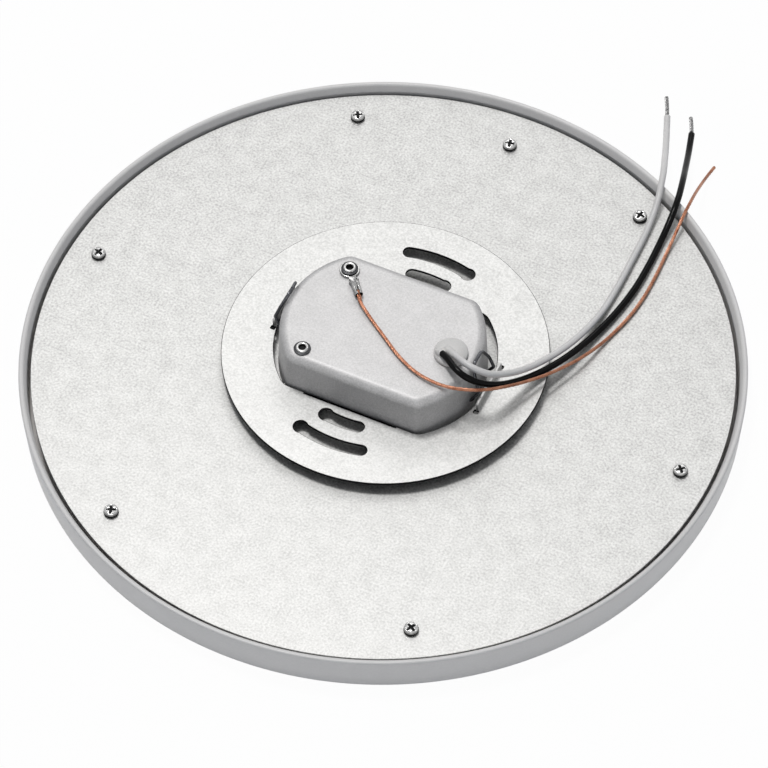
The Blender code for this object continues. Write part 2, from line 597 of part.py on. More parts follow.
def mounting_plate():
    """The plate that is screwed to the ceiling box, with two clip tabs and two turned-down flanges.

    The left tab is shorter on its near side, as in the photo.
    """
    curve = HOUSING_END_CURVE + OPENING_GAP
    holes = [box_outline(OPENING_END, OPENING_HALF_WIDTH, curve, HOUSING_CORNER + OPENING_GAP)]
    slot_radii = (INNER_SLOT_RADIUS, OUTER_SLOT_RADIUS)
    for radius, head, tail in zip(slot_radii, SLOT_HEAD_DEGREES, SLOT_TAIL_DEGREES):
        slot = slot_outline(radius, head, tail)
        holes += [slot, [(-x, -y) for x, y in slot]]
    mesh = slab(circle(MOUNT_RADIUS, LARGE_SIDES), holes, MOUNT_THICKNESS)
    additions = []
    cuts = []
    for side, near_reach in zip((-1, 1), TAB_NEAR_REACH):
        tab_height = TAB_HEIGHT + MOUNT_THICKNESS
        tab_middle = (TAB_FAR_REACH - near_reach) / 2
        additions.append(
            block(
                (MOUNT_THICKNESS, near_reach + TAB_FAR_REACH, tab_height),
                (side * (OPENING_END + MOUNT_THICKNESS / 2), tab_middle, tab_height / 2),
            )
        )
        flange_height = MOUNT_LIFT - FIT + MOUNT_THICKNESS
        additions.append(
            block(
                (2 * FLANGE_HALF_LENGTH, MOUNT_THICKNESS, flange_height),
                (
                    0,
                    side * (OPENING_HALF_WIDTH + MOUNT_THICKNESS / 2),
                    MOUNT_THICKNESS - flange_height / 2,
                ),
            )
        )
        for end, reach in ((-1, near_reach), (1, TAB_FAR_REACH)):
            cuts.append(
                block(
                    (MOUNT_THICKNESS + NOTCH_DEPTH, NOTCH_WIDTH, MOUNT_THICKNESS + 2 * OVERRUN),
                    (
                        side * (OPENING_END + (MOUNT_THICKNESS + NOTCH_DEPTH) / 2 - FIT),
                        end * (reach + NOTCH_WIDTH / 2),
                        MOUNT_THICKNESS / 2,
                    ),
                )
            )
    mesh = shaped(shaped(mesh, additions, "UNION"), cuts, "DIFFERENCE")
    add_node("mounting_plate", mesh, GALVANISED, (0, MOUNT_SLIP, MOUNT_BOTTOM))


def housing_rows(inset, top, top_round):
    """Rows of the housing's wall from its open bottom to its top, at an inset from the outer face."""
    rows = []
    side_top = top - top_round
    levels = [(0, HOUSING_BOTTOM), (HOUSING_LEAN, side_top)]
    for i in range(1, 5):
        angle = pi / 2 * i / 4
        levels.append((HOUSING_LEAN + top_round * (1 - cos(angle)), side_top + top_round * sin(angle)))
    for lean, height in levels:
        less = inset + lean
        corner = max(HOUSING_CORNER - less, LEAST_CORNER_SHARE * HOUSING_CORNER)
        sizes = (size - less for size in (HOUSING_END_RADIUS, HOUSING_HALF_WIDTH, HOUSING_END_CURVE))
        outline = box_outline(*sizes, corner)
        rows.append([(x, y, height) for x, y in outline])
    return rows


def driver_housing():
    """The housing: an open-bottomed box with holes for the rivets, the bushing and the clip legs."""
    outer = housing_rows(0, HOUSING_TOP, HOUSING_TOP_ROUND)
    inner = housing_rows(HOUSING_WALL, HOUSING_CEILING, HOUSING_TOP_ROUND - HOUSING_WALL)
    body = bmesh.new()
    loops = [[body.verts.new(point) for point in row] for row in (*reversed(outer), *inner)]
    body.faces.new(loops[0])
    body.faces.new(loops[-1])
    for low, high in zip(loops, loops[1:]):
        for i in range(len(low)):
            body.faces.new((low[i - 1], low[i], high[i], high[i - 1]))
    mesh = finished(body)
    bottom = HOUSING_CEILING - OVERRUN
    top = HOUSING_TOP + OVERRUN
    cuts = [rod(RIVET_HOLE, bottom, top, SMALL_SIDES, (RIVET_X, y)) for y in RIVET_YS]
    neck_hole = BUSHING_NECK_DIAMETER + 2 * FIT
    cuts.append(rod(neck_hole, bottom, top, SMALL_SIDES, (BUSHING_X, BUSHING_Y)))
    leg_hole = CLIP_WIRE + 2 * CLIP_HOLE_CLEARANCE
    for side in (-1, 1):
        for leg in (-1, 1):
            drill = rod(leg_hole, 0, 2 * CLIP_AXIS_INSET, TINY_SIDES)
            turn = Matrix.Rotation(side * pi / 2, 4, "Y")
            place = Vector((side * CLIP_AXIS_X, CLIP_SHIFT + leg * CLIP_HALF_SPREAD, CLIP_AXIS_Z))
            drill.transform(Matrix.Translation(place) @ turn)
            cuts.append(drill)
    add_node("driver_housing", shaped(mesh, cuts, "DIFFERENCE"), SATIN_ALLOY)


def rivet(base):
    """A blind rivet whose head sits at a height over the housing top."""
    head = RIVET_HEAD_DIAMETER / 2
    bore = RIVET_BORE / 2
    crown = (head + bore) / 2
    tail_top = HOUSING_CEILING - 2 * FIT - BRACKET_THICKNESS - HOUSING_TOP
    section = [
        (RIVET_TAIL_DIAMETER / 2, tail_top - RIVET_TAIL_LENGTH),
        (RIVET_TAIL_DIAMETER / 2, tail_top),
        (RIVET_DIAMETER / 2, tail_top),
        (RIVET_DIAMETER / 2, base),
        (head, base),
        (head, base + RIVET_HEAD_HEIGHT / 4),
        (crown, base + RIVET_HEAD_HEIGHT),
        (bore, base + RIVET_HEAD_HEIGHT),
        (bore, base + RIVET_HEAD_HEIGHT / 4),
    ]
    return turned(section, SMALL_SIDES)


def rivets_and_terminal():
    """Two rivets, with the ground wire's ring terminal under the head of the first."""
    terminal_base = FIT
    first_base = terminal_base + TERMINAL_THICKNESS + FIT
    add_node("housing_rivet_1", rivet(first_base), NICKEL, (RIVET_X, RIVET_YS[0], HOUSING_TOP))
    add_node("housing_rivet_2", rivet(FIT), NICKEL, (RIVET_X, RIVET_YS[1], HOUSING_TOP))
    ring = slab(
        circle(TERMINAL_DIAMETER / 2, SMALL_SIDES),
        [circle(RIVET_DIAMETER / 2 + FIT, SMALL_SIDES)],
        TERMINAL_THICKNESS,
        terminal_base,
    )
    neck_start = (TERMINAL_DIAMETER + RIVET_DIAMETER) / 4
    neck_end = BARREL_START + BARREL_DIAMETER / 2
    neck = block(
        (neck_end - neck_start, TERMINAL_NECK_WIDTH, TERMINAL_THICKNESS),
        ((neck_start + neck_end) / 2, 0, terminal_base + TERMINAL_THICKNESS / 2),
    )
    barrel_height = terminal_base + BARREL_DIAMETER / 2
    along = Matrix.Rotation(pi / 2, 4, "Y")
    barrel = rod(BARREL_DIAMETER, BARREL_START, BARREL_END, SMALL_SIDES)
    bore = rod(GROUND_DIAMETER + 2 * FIT, BARREL_END - BARREL_BORE_DEPTH, BARREL_END + OVERRUN, TINY_SIDES)
    for piece in (barrel, bore):
        piece.transform(Matrix.Translation((0, 0, barrel_height)) @ along)
    mesh = shaped(shaped(ring, [neck, barrel], "UNION"), [bore], "DIFFERENCE")
    add_node("ground_terminal", mesh, TIN, (RIVET_X, RIVET_YS[0], HOUSING_TOP), TERMINAL_DEGREES)


def housing_bracket():
    """A strap bent down on both sides, riveted under the housing top, with its feet on the back plate."""
    top = HOUSING_CEILING - FIT
    bottom = BACK_PLATE_TOP + FIT
    inner = BRACKET_BEND - BRACKET_THICKNESS
    bend_centre = (BRACKET_HALF_WIDTH - BRACKET_BEND, top - BRACKET_BEND)
    foot_tip = BRACKET_HALF_WIDTH - BRACKET_FOOT
    leg = BRACKET_HALF_WIDTH - BRACKET_THICKNESS
    right = [
        *arc_points(bend_centre, BRACKET_BEND, 90, 0, 4),
        (BRACKET_HALF_WIDTH, bottom),
        (foot_tip, bottom),
        (foot_tip, bottom + BRACKET_THICKNESS),
        (leg, bottom + BRACKET_THICKNESS),
        *arc_points(bend_centre, inner, 0, 90, 4),
    ]
    outline = [*right, *((-y, z) for y, z in reversed(right))]
    mesh = slab(outline, [], BRACKET_WIDTH, -BRACKET_WIDTH / 2)
    mesh.transform(Matrix(((0, 0, 1, 0), (1, 0, 0, 0), (0, 1, 0, 0), (0, 0, 0, 1))))
    hole_bottom = top - BRACKET_THICKNESS - FIT
    holes = [rod(RIVET_HOLE, hole_bottom, top + FIT, SMALL_SIDES, (0, y)) for y in RIVET_YS]
    add_node("housing_bracket", shaped(mesh, holes, "DIFFERENCE"), GALVANISED, (RIVET_X, 0, 0))


def lead_bushing():
    """A domed bushing snapped into the housing top, with a pocket where each lead comes out."""
    edge = BUSHING_DIAMETER / 2
    neck = BUSHING_NECK_DIAMETER / 2
    barb = BUSHING_BARB_DIAMETER / 2
    crown = [
        (edge * sin(angle), FIT + BUSHING_EDGE + BUSHING_CROWN * cos(angle))
        for angle in (pi / 2 * i / 5 for i in range(5, 0, -1))
    ]
    neck_bottom = -HOUSING_WALL - FIT
    section = [
        (neck, neck_bottom - BUSHING_BARB),
        (barb, neck_bottom),
        (neck, neck_bottom),
        (neck, FIT),
        (edge, FIT),
        *crown,
    ]
    mesh = turned(section, 2 * TINY_SIDES)
    pockets = []
    for route in (WHITE_ROUTE, BLACK_ROUTE):
        start = Vector((route[0][0] - BUSHING_X, route[0][1] - BUSHING_Y, LEAD_EXIT_RISE))
        out = (Vector(route[1]) - Vector(route[0])).normalized()
        pocket = rod(LEAD_DIAMETER + 2 * FIT, -FIT, BUSHING_DIAMETER, SMALL_SIDES)
        turn = out.to_track_quat("Z", "Y").to_matrix().to_4x4()
        pocket.transform(Matrix.Translation(start) @ turn)
        pockets.append(pocket)
    mesh = shaped(mesh, pockets, "DIFFERENCE")
    add_node("lead_bushing", mesh, NYLON, (BUSHING_X, BUSHING_Y, HOUSING_TOP))


def free_leads():
    """The supply leads, their tinned tips and the bare ground lead, each on its own smooth route."""
    for name, route, tip, finish in (
        ("white_lead", WHITE_ROUTE, WHITE_TIP, WHITE_PVC),
        ("black_lead", BLACK_ROUTE, BLACK_TIP, BLACK_PVC),
    ):
        path = smooth_route(route, LEAD_STEP)
        add_node(name, wire_curve(path, LEAD_DIAMETER), finish)
        tip_path = smooth_route(tip, LEAD_STEP / 2)
        tip_path[0] += (tip_path[1] - tip_path[0]) / np.linalg.norm(tip_path[1] - tip_path[0]) * FIT
        add_node(name + "_tip", wire_curve(tip_path, TIP_DIAMETER), TIN)
    ground = smooth_route(GROUND_ROUTE, GROUND_STEP)
    add_node("ground_lead", wire_curve(ground, GROUND_DIAMETER), COPPER)


def clip_points(side):
    """The corners of a clip's wire from its pivot axis: two pivot arms, two legs and a crown over them."""
    half = [
        (0, CLIP_HALF_SPREAD - CLIP_ARM, 0),
        (0, CLIP_HALF_SPREAD, 0),
        (CLIP_LEG_REACH, CLIP_HALF_SPREAD, 0),
        (CLIP_ELBOW_REACH, CLIP_ELBOW_HALF_SPREAD, CLIP_ELBOW_RISE),
        (CLIP_SIDE_REACH, CLIP_SIDE_HALF_SPREAD, CLIP_TOP_RISE - CLIP_SIDE_DROP),
        (CLIP_SHOULDER_REACH, CLIP_SHOULDER_HALF_SPREAD, CLIP_TOP_RISE - CLIP_SHOULDER_DROP),
        (CLIP_CROWN_REACH, CLIP_CROWN_HALF_SPREAD, CLIP_TOP_RISE + CLIP_CROWN_RISE),
    ]
    whole = [*half, *((x, -y, z) for x, y, z in reversed(half))]
    return [(side * x, y, z) for x, y, z in whole]


def clips():
    """Two wire spring clips, each with its origin on the axis that it springs about."""
    for name, side in (("clip_left", -1), ("clip_right", 1)):
        points = clip_points(side)
        low_bends = [CLIP_BEND] * 2
        bow_bends = [CLIP_BOW_BEND] * (len(points) - 2 - 2 * len(low_bends))
        path = bent_path(points, [*low_bends, *bow_bends, *low_bends], 2)
        place = (side * CLIP_AXIS_X, CLIP_SHIFT, CLIP_AXIS_Z)
        add_node(name, wire_curve(path, CLIP_WIRE), SPRING_STEEL, place)


def board_outline(half_length, half_width):
    """A circle of the board's half length cut off by its two long sides."""
    meet = degrees(asin(half_width / half_length))
    right = arc_points((0, 0), half_length, meet, -meet, 12)
    return [*right, *((-x, -y) for x, y in right)]


def board_place(shares, height=PARTS_BOTTOM):
    """A place on the board, from shares of its half length and half width."""
    return (shares[0] * BOARD_HALF_LENGTH, shares[1] * BOARD_HALF_WIDTH, height)


def driver():
    """The circuit board in its tray, with its parts and the two short supply leads from the bushing."""
    lead_hole = circle(LED_LEAD_HOLE / 2, TINY_SIDES, (LED_LEAD_X, 0))
    floor = slab(board_outline(TRAY_HALF_LENGTH, TRAY_HALF_WIDTH), [lead_hole], TRAY_FLOOR)
    rim = slab(
        board_outline(TRAY_HALF_LENGTH, TRAY_HALF_WIDTH),
        [board_outline(TRAY_HALF_LENGTH - TRAY_RIM, TRAY_HALF_WIDTH - TRAY_RIM)],
        TRAY_HEIGHT,
    )
    add_node("board_insulator", shaped(floor, [rim], "UNION"), BLACK_SLEEVE, (0, 0, TRAY_BOTTOM))
    board = slab(board_outline(BOARD_HALF_LENGTH, BOARD_HALF_WIDTH), [], BOARD_THICKNESS)
    add_node("driver_board", board, BOARD_GREEN, (0, 0, BOARD_BOTTOM))
    for name, size, shares, finish in (
        ("transformer", (*TRANSFORMER_PLAN, TRANSFORMER_HEIGHT), TRANSFORMER_PLACE_SHARES, YELLOW_TAPE),
        ("film_capacitor", FILM_CAPACITOR_SIZE, FILM_CAPACITOR_PLACE_SHARES, FILM_BLUE),
        ("rectifier", RECTIFIER_SIZE, RECTIFIER_PLACE_SHARES, BLACK_RESIN),
        ("controller_chip", CHIP_SIZE, CHIP_PLACE_SHARES, BLACK_RESIN),
    ):
        add_node(name, block(size, (0, 0, size[2] / 2)), finish, board_place(shares))
    bulk = rod(BULK_CAPACITOR_DIAMETER, 0, BULK_CAPACITOR_HEIGHT, SMALL_SIDES)
    add_node("bulk_capacitor", bulk, BLACK_SLEEVE, board_place(BULK_CAPACITOR_PLACE_SHARES))
    output = rod(OUTPUT_CAPACITOR_DIAMETER, 0, OUTPUT_CAPACITOR_HEIGHT, SMALL_SIDES)
    add_node("output_capacitor", output, BLACK_SLEEVE, board_place(OUTPUT_CAPACITOR_PLACE_SHARES))
    wide = CHOKE_DIAMETER / 2
    waist = wide * CHOKE_WAIST_SHARE
    choke = [
        (wide, 0),
        (wide, CHOKE_FLANGE),
        (waist, CHOKE_FLANGE),
        (waist, CHOKE_HEIGHT - CHOKE_FLANGE),
        (wide, CHOKE_HEIGHT - CHOKE_FLANGE),
        (wide, CHOKE_HEIGHT),
    ]
    add_node("choke", turned(choke, SMALL_SIDES), FERRITE, board_place(CHOKE_PLACE_SHARES))
    fuse = rod(FUSE_DIAMETER, -FUSE_LENGTH / 2, FUSE_LENGTH / 2, TINY_SIDES)
    fuse.transform(Matrix.Translation((0, 0, FUSE_DIAMETER / 2)) @ Matrix.Rotation(pi / 2, 4, "Y"))
    add_node("fuse", fuse, WHITE_FILM, board_place(FUSE_PLACE_SHARES))


def inner_leads():
    """The supply leads inside the housing, and the two thin leads from the board to the light strip."""
    top = HOUSING_CEILING - FIT - BUSHING_BARB - FIT
    apart = (LEAD_DIAMETER + FIT) / 2
    for name, side, finish in (("white_lead_inner", 1, WHITE_PVC), ("black_lead_inner", -1, BLACK_PVC)):
        line = [(0, side * apart, top), (0, side * apart, PARTS_BOTTOM)]
        add_node(name, wire_curve(line, LEAD_DIAMETER), finish, (BUSHING_X, BUSHING_Y, 0))
    level = FOAM_TOP - LED_LEAD_DIAMETER
    strip_top = GUIDE_BOTTOM + GUIDE_THICKNESS + FIT
    end_x = -(STRIP_RADIUS - LED_LEAD_DIAMETER / 2 - FIT)
    for name, side, finish in (("led_lead_red", 1, RED_PVC), ("led_lead_black", -1, BLACK_PVC)):
        y = side * LED_LEAD_SPACING / 2
        corners = [
            (LED_LEAD_X, y, BOARD_BOTTOM - FIT),
            (LED_LEAD_X, y, level),
            (end_x, y, level),
            (end_x, y, strip_top),
        ]
        add_node(name, wire_curve(bent_path(corners, [LED_LEAD_BEND] * 2), LED_LEAD_DIAMETER), finish)


clear_scene()
rim_frame()
light_layers()
back_plate()
mounting_plate()
driver_housing()
housing_bracket()
rivets_and_terminal()
lead_bushing()
clips()
driver()
inner_leads()
free_leads()
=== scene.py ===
"""The looks of a slim round LED flush mount light that lies face down, seen from its ceiling side.

Lengths are in metres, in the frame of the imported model: the light's front rests on z = 0.
"""

from math import asin, atan2, cos, degrees, pi, radians, sin, sqrt, tan

import bmesh
import bpy
import numpy as np
from mathutils import Matrix, Vector
from mathutils.geometry import tessellate_polygon


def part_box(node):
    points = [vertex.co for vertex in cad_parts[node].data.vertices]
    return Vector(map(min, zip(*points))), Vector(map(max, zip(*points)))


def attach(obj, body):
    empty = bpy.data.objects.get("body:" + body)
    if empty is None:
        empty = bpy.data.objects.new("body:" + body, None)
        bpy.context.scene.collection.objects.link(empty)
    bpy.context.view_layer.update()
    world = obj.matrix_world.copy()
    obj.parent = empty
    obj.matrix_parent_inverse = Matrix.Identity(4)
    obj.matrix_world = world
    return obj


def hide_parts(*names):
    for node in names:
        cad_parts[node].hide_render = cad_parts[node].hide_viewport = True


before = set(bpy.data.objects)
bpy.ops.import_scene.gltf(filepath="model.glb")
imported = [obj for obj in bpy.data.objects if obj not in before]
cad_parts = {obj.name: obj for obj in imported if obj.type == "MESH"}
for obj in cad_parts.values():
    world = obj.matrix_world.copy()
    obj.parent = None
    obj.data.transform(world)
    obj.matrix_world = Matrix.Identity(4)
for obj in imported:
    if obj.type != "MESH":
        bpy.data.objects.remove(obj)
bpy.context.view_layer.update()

# The body that all but the clips ride on, the small gap between pieces, and how near points merge
LIGHT = "light"
FIT = 0.0003
MERGE_REACH = 1e-6
MM_PER_METRE = 1000

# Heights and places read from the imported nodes, so that each new piece sits where its solid does
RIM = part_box("rim_frame")
BACK_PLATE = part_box("back_plate")
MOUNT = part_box("mounting_plate")
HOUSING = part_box("driver_housing")
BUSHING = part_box("lead_bushing")
RIVETS = (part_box("housing_rivet_1"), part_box("housing_rivet_2"))
PLATE_TOP = BACK_PLATE[1].z
HOUSING_TOP = HOUSING[1].z

# Bezel: the lean, the wall and the crest are measured inwards from the outer radius, and each boss's
# section is its radius and height
BEZEL_WIDTH = 0.027
BEZEL_SHEET = 0.0015
RIM_LEAN = 0.0007
RIM_WALL = 0.0028
CREST_WIDTH = 0.0017
CREST_DROP = 0.0029
RIM_ROUNDINGS = (0.0003, 0.0008, 0.0007, 0.0011, 0.0004, 0.0004, 0.0003)
BOSS_SECTION = ((0.0035, 0.0007), (0.0035, 0.0099), (0.0018, 0.0099), (0.0018, 0.0007))
BOSS_ROUNDINGS = (0, 0.0003, 0.0002, 0)
RIM_SIDES = 288
BOSS_SIDES = 32

# Back plate and its screws: the recess is CROSS_DEPTH deep in its middle and less by CROSS_SLOPE times
# the radius, and fades out round a bar's edge, where the distance counts as 1
SCREW_CIRCLE = 0.11305
ODD_SCREW_Y = 0.109
SCREW_PLACES = [
    *((SCREW_CIRCLE * cos(a), SCREW_CIRCLE * sin(a)) for a in (pi / 3 * i for i in range(6))),
    (0, ODD_SCREW_Y),
]
SCREW_HOLE = 0.0018
LEAD_HOLE = 0.0025
LEAD_HOLE_X = -0.012
SHEET_EDGE = 0.00025
DISC_SIDES = 256
SCREW_SHANK = 0.0015
SCREW_LENGTH = 0.008
SCREW_HEAD = ((0.0015, 0), (0.0026, 0), (0.0026, 0.0007), (0.00235, 0.0016), (0.0016, 0.00188), (0, 0.0019))
SCREW_HEAD_ROUNDINGS = (0, 0.0002, 0.0003, 0.0004, 0.001, 0)
SCREW_SIDES = 64
SCREW_HEAD_ROWS = 60
SCREW_SHANK_ROWS = 90
SCREW_STEP = 0.7
THREAD_PITCH = 0.0006
THREAD_DEPTH = 0.00012
THREAD_END = 0.0079
CROSS_REACH = 0.0017
CROSS_HALF_WIDTH = 0.00042
CROSS_DEPTH = 0.0010
CROSS_SLOPE = 0.3
CROSS_FADE_END = 1.15
CROSS_FADE_LENGTH = 0.3
CROSS_FLOOR = 0.0012
# Painted shade goes on the recess's faces sunk deeper than the next depth, and on the head's steep side, out
# from the radius and below the height that follow it
CROSS_SHADE_DEPTH = 0.00025
HEAD_SIDE_RADIUS = 0.00245
HEAD_SIDE_HEIGHT = 0.0009

# Mounting plate: its middle lies MOUNT_SLIP towards +Y. Each slot is the radius that it lies on and how
# far its wide head and its tail stand from the middle in degrees, and each tab ends at TAB_FAR_END
MOUNT_GAP = 0.0036
MOUNT_BOTTOM = PLATE_TOP + MOUNT_GAP
MOUNT_THICKNESS = 0.001
MOUNT_RADIUS = MOUNT[1].x
MOUNT_SLIP = 0.0020
MOUNT_EDGE = 0.00022
OPENING_END = 0.0396
OPENING_HALF_WIDTH = 0.0289
OPENING_CURVE = 0.0370
OPENING_CORNER = 0.0055
SLOTS = ((0.034925, 10.9, 9.5), (0.04445, 16.1, 14.1))
SLOT_HALF_WIDTH = 0.0022
SLOT_HEAD_RADIUS = 0.0026
TAB_FAR_END = 0.0093
TAB_NEAR_ENDS = ((-1, -0.0073), (1, -0.0107))
TAB_HEIGHT = 0.0048
TAB_CORNER = 0.0008
TAB_EDGE = 0.0002
NOTCH_LENGTH = 0.0014
NOTCH_WIDTH = 0.0012
NOTCH_CORNER = 0.0003
FLANGE_HALF_LENGTH = 0.018
FLANGE_HEIGHT = 0.0043
FLANGE_CORNERS = (0.0006, 0.0006, 0.0002, 0.0002)

# Driver's box: its corners are rounder at the shoulder than at the foot
HOUSING_SHEET = 0.0012
HOUSING_LEAN = 0.0007
HOUSING_CURVE = 0.0345
HOUSING_SHOULDER = 0.0034
HOUSING_INNER_SHOULDER = 0.0022
FOOT_CORNER = 0.0027
CORNER_GROWTH = 0.0028
CORNER_SHRINK = 0.5
WALL_ROWS = 9
SHOULDER_ROWS = 17

# Rivets: the head's section is its radius and its height over the flange's foot
RIVET_HEAD = (
    (0.0030, 0), (0.0030, 0.0002), (0.0023, 0.0004),
    (0.00205, 0.0010), (0.00135, 0.0010), (0.0012, 0.0003),
)
RIVET_HEIGHT = 0.0010
RIVET_SHANK = 0.0015
RIVET_TAIL = 0.0021
RIVET_TAIL_LENGTH = 0.0014
RIVET_BORE = 0.0011
RIVET_BORE_DEPTH = 0.0008
RIVET_BORE_RISE = 0.00006
RIVET_FLOOR_LIFT = 0.00012
RIVET_ROUNDINGS = (0, 0.0001, 0.0001, 0, 0, 0.0001, 0.0001, 0.0003, 0.00035, 0.00035, 0.0002, 0.0001, 0)
RIVET_SIDES = 64
# Painted shade on the rivets: faces out from the first radius on the flange take a dark grey, and those
# inside the second a near black
FLANGE_PAINT_FROM = 0.0022
BORE_PAINT_TO = 0.00127

# Ground terminal: places along it run from the middle of its ring, and widths are half widths
TERMINAL_SHEET = 0.0007
TERMINAL_EDGE = 0.0002
TERMINAL_DEGREES = -49.2
RING_RADIUS = 0.0036
RING_HOLE = 0.0018
STRIP_START = 0.0029
STRIP_END = 0.0126
CURL_START = 0.0040
CURL_LENGTH = 0.0036
CURL_ANGLES = (0.08, 2.85)
NECK_WIDTH = 0.0013
BARREL_WIDTH = 0.00425
MOUTH_START = 0.0112
MOUTH_LENGTH = 0.0014
MOUTH_NARROWING = 0.0003
INNER_SKIN_SHARE = 0.75
CRIMP_AT = 0.0100
CRIMP_LENGTH = 0.0017
CRIMP_HALF_WIDTH = 0.00055
CRIMP_DEPTH = 0.0011
CRIMP_RISE = 0.0018
CRIMP_RISE_FROM = 0.4
SQUASH_LENGTH = 0.0015
SQUASH_SHARE = 0.13
STRIP_ROWS = 70
STRIP_COLUMNS = 41

# Bushing: the neck's section is its radius and height, from the dome's rim down and back to the middle
DOME_RADIUS = 0.006
DOME_FOOT = 0.0008
DOME_RISE = 0.0016
HOOD_RADIUS = 0.00155
HOOD_DROP = 0.0002
HOOD_EASE = 0.0004
HOOD_STEP = 0.0003
WHITE_HOOD_LENGTH = 0.0042
BLACK_HOOD_LENGTH = 0.0009
NECK_SECTION = (
    (0.006, 0.0005), (0.006, 0.0001), (0.0059, 0), (0.0042, 0), (0.0042, -0.0018),
    (0.0051, -0.0018), (0.0042, -0.0030), (0.0, -0.0030),
)
DOME_SIDES = 160
DOME_ROWS = 60

# Spring clips: CLIP_AXIS is the middle between a wire's feet, over the back plate. The corners of half a
# wire run from there outwards, along the wall and up, and the wire never runs along CLIP_SIDE_HINT
CLIP_WIRE_RADIUS = 0.0006
CLIP_AXIS = (0.034, 0.0009, 0.0052)
CLIP_CORNERS = (
    (0, 0.0035, 0), (0, 0.007, 0), (0.0026, 0.007, 0),
    (0.0054, 0.0061, 0.0053), (0.0036, 0.0057, 0.0106), (0.0017, 0.0035, 0.0156),
)
CLIP_BENDS = (0, 0.0011, 0.0011, 0.0013, 0.006, 0.0028)
CLIP_SIDE_HINT = (0.6, 0, -0.8)
CLIP_BEND_STEPS = 12
CLIP_SIDES = 16

# Camera, matched to the photograph's view of the rim, the housing and the slots
CAMERA_ELEVATION = 53.296
CAMERA_AZIMUTH = 25.67
CAMERA_ROLL = -0.530
CAMERA_DISTANCE = 1.32569
CAMERA_SLIDE = (0.000314, -0.008005)
CAMERA_AIM_HEIGHT = 0.0112
CAMERA_SENSOR = 36
CAMERA_FOCAL_PIXELS = 3768.6
PHOTO_PIXELS = 768
CAMERA_LENS = CAMERA_FOCAL_PIXELS / PHOTO_PIXELS * CAMERA_SENSOR
CAMERA_FAR = 10

# Leads, on the same routes as in the part
LEAD_DIAMETER = 0.0024
LEAD_SIDES = 20
LEAD_STEP = 0.0012
TIP_DIAMETER = 0.0015
TIP_STEP = 0.0005
TIP_STRANDS = 7
TIP_LAY = 0.009
TIP_BLUNT = 0.3
GROUND_DIAMETER = 0.00124
GROUND_STEP = 0.0006
GROUND_STRANDS = 6
GROUND_LAY = 0.012
GROUND_BULGE = 0.35
GROUND_BULGE_AT = 0.0030
GROUND_BULGE_LENGTH = 0.0014
ROUTE_SAMPLES = 24
WHITE_ROUTE = (
    (0.0252, -0.0010, 0.0331), (0.0270, -0.0020, 0.0339), (0.0293, -0.0033, 0.0347),
    (0.0338, -0.0056, 0.0358), (0.0384, -0.0063, 0.0356), (0.0424, -0.0050, 0.0338),
    (0.0455, -0.0012, 0.0307), (0.0484, 0.0046, 0.0266), (0.0511, 0.0118, 0.0224),
    (0.0536, 0.0189, 0.0194), (0.0565, 0.0261, 0.0179), (0.0592, 0.0360, 0.0157),
    (0.0615, 0.0507, 0.0131), (0.0621, 0.0634, 0.0128), (0.0620, 0.0764, 0.0128),
    (0.0617, 0.0901, 0.0128), (0.0610, 0.0995, 0.0137), (0.0601, 0.1065, 0.0157),
    (0.0588, 0.1119, 0.0162), (0.0568, 0.1190, 0.0148), (0.0538, 0.1279, 0.0102),
    (0.0505, 0.1375, 0.0050), (0.0472, 0.1466, 0.0018), (0.0440, 0.1550, 0.0014),
)
WHITE_TIP = ((0.0440, 0.1550, 0.0014), (0.0421, 0.1595, 0.0012), (0.0400, 0.1640, 0.0010))
BLACK_ROUTE = (
    (0.0230, -0.0029, 0.0331), (0.0248, -0.0039, 0.0338), (0.0270, -0.0054, 0.0346),
    (0.0312, -0.0085, 0.0353), (0.0351, -0.0100, 0.0349), (0.0388, -0.0094, 0.0331),
    (0.0424, -0.0066, 0.0298), (0.0459, -0.0021, 0.0261), (0.0491, 0.0038, 0.0225),
    (0.0521, 0.0099, 0.0197), (0.0556, 0.0170, 0.0178), (0.0589, 0.0251, 0.0162),
    (0.0626, 0.0385, 0.0134), (0.0660, 0.0525, 0.0128), (0.0679, 0.0655, 0.0128),
    (0.0683, 0.0775, 0.0128), (0.0680, 0.0899, 0.0130), (0.0678, 0.0980, 0.0144),
    (0.0675, 0.1040, 0.0161), (0.0667, 0.1095, 0.0162), (0.0646, 0.1185, 0.0138),
    (0.0617, 0.1290, 0.0084), (0.0585, 0.1405, 0.0032), (0.0565, 0.1475, 0.0016),
    (0.0555, 0.1510, 0.0014),
)
BLACK_TIP = ((0.0555, 0.1510, 0.0014), (0.0539, 0.1548, 0.0012), (0.0521, 0.1585, 0.0010))
GROUND_ROUTE = (
    (-0.0143, 0.0097, 0.0326), (-0.0129, 0.0080, 0.0326), (-0.0114, 0.0058, 0.0325),
    (-0.0070, 0.0024, 0.0320), (0.0021, -0.0039, 0.0318), (0.0111, -0.0099, 0.0318),
    (0.0195, -0.0137, 0.0319), (0.0276, -0.0151, 0.0322), (0.0335, -0.0148, 0.0325),
    (0.0393, -0.0127, 0.0321), (0.0439, -0.0088, 0.0302), (0.0477, -0.0032, 0.0271),
    (0.0511, 0.0030, 0.0236), (0.0546, 0.0094, 0.0207), (0.0578, 0.0154, 0.0186),
    (0.0635, 0.0276, 0.0154), (0.0676, 0.0410, 0.0124), (0.0710, 0.0545, 0.0122),
    (0.0722, 0.0646, 0.0122), (0.0723, 0.0754, 0.0122), (0.0718, 0.0880, 0.0126),
    (0.0716, 0.0985, 0.0148), (0.0715, 0.1035, 0.0155), (0.0711, 0.1105, 0.0144),
    (0.0699, 0.1200, 0.0094), (0.0690, 0.1295, 0.0042), (0.0688, 0.1360, 0.0014),
    (0.0692, 0.1400, 0.0008),
)


# Tools for the surfaces. LEAST_SLANT keeps an inset corner from moving more than 2.5 insets, and
# CAP_SHARES are the sizes of the rings in a flat cap
LEAST_SLANT = 0.4
CAP_SHARES = (1.0, 0.6, 0.25, 0.0)


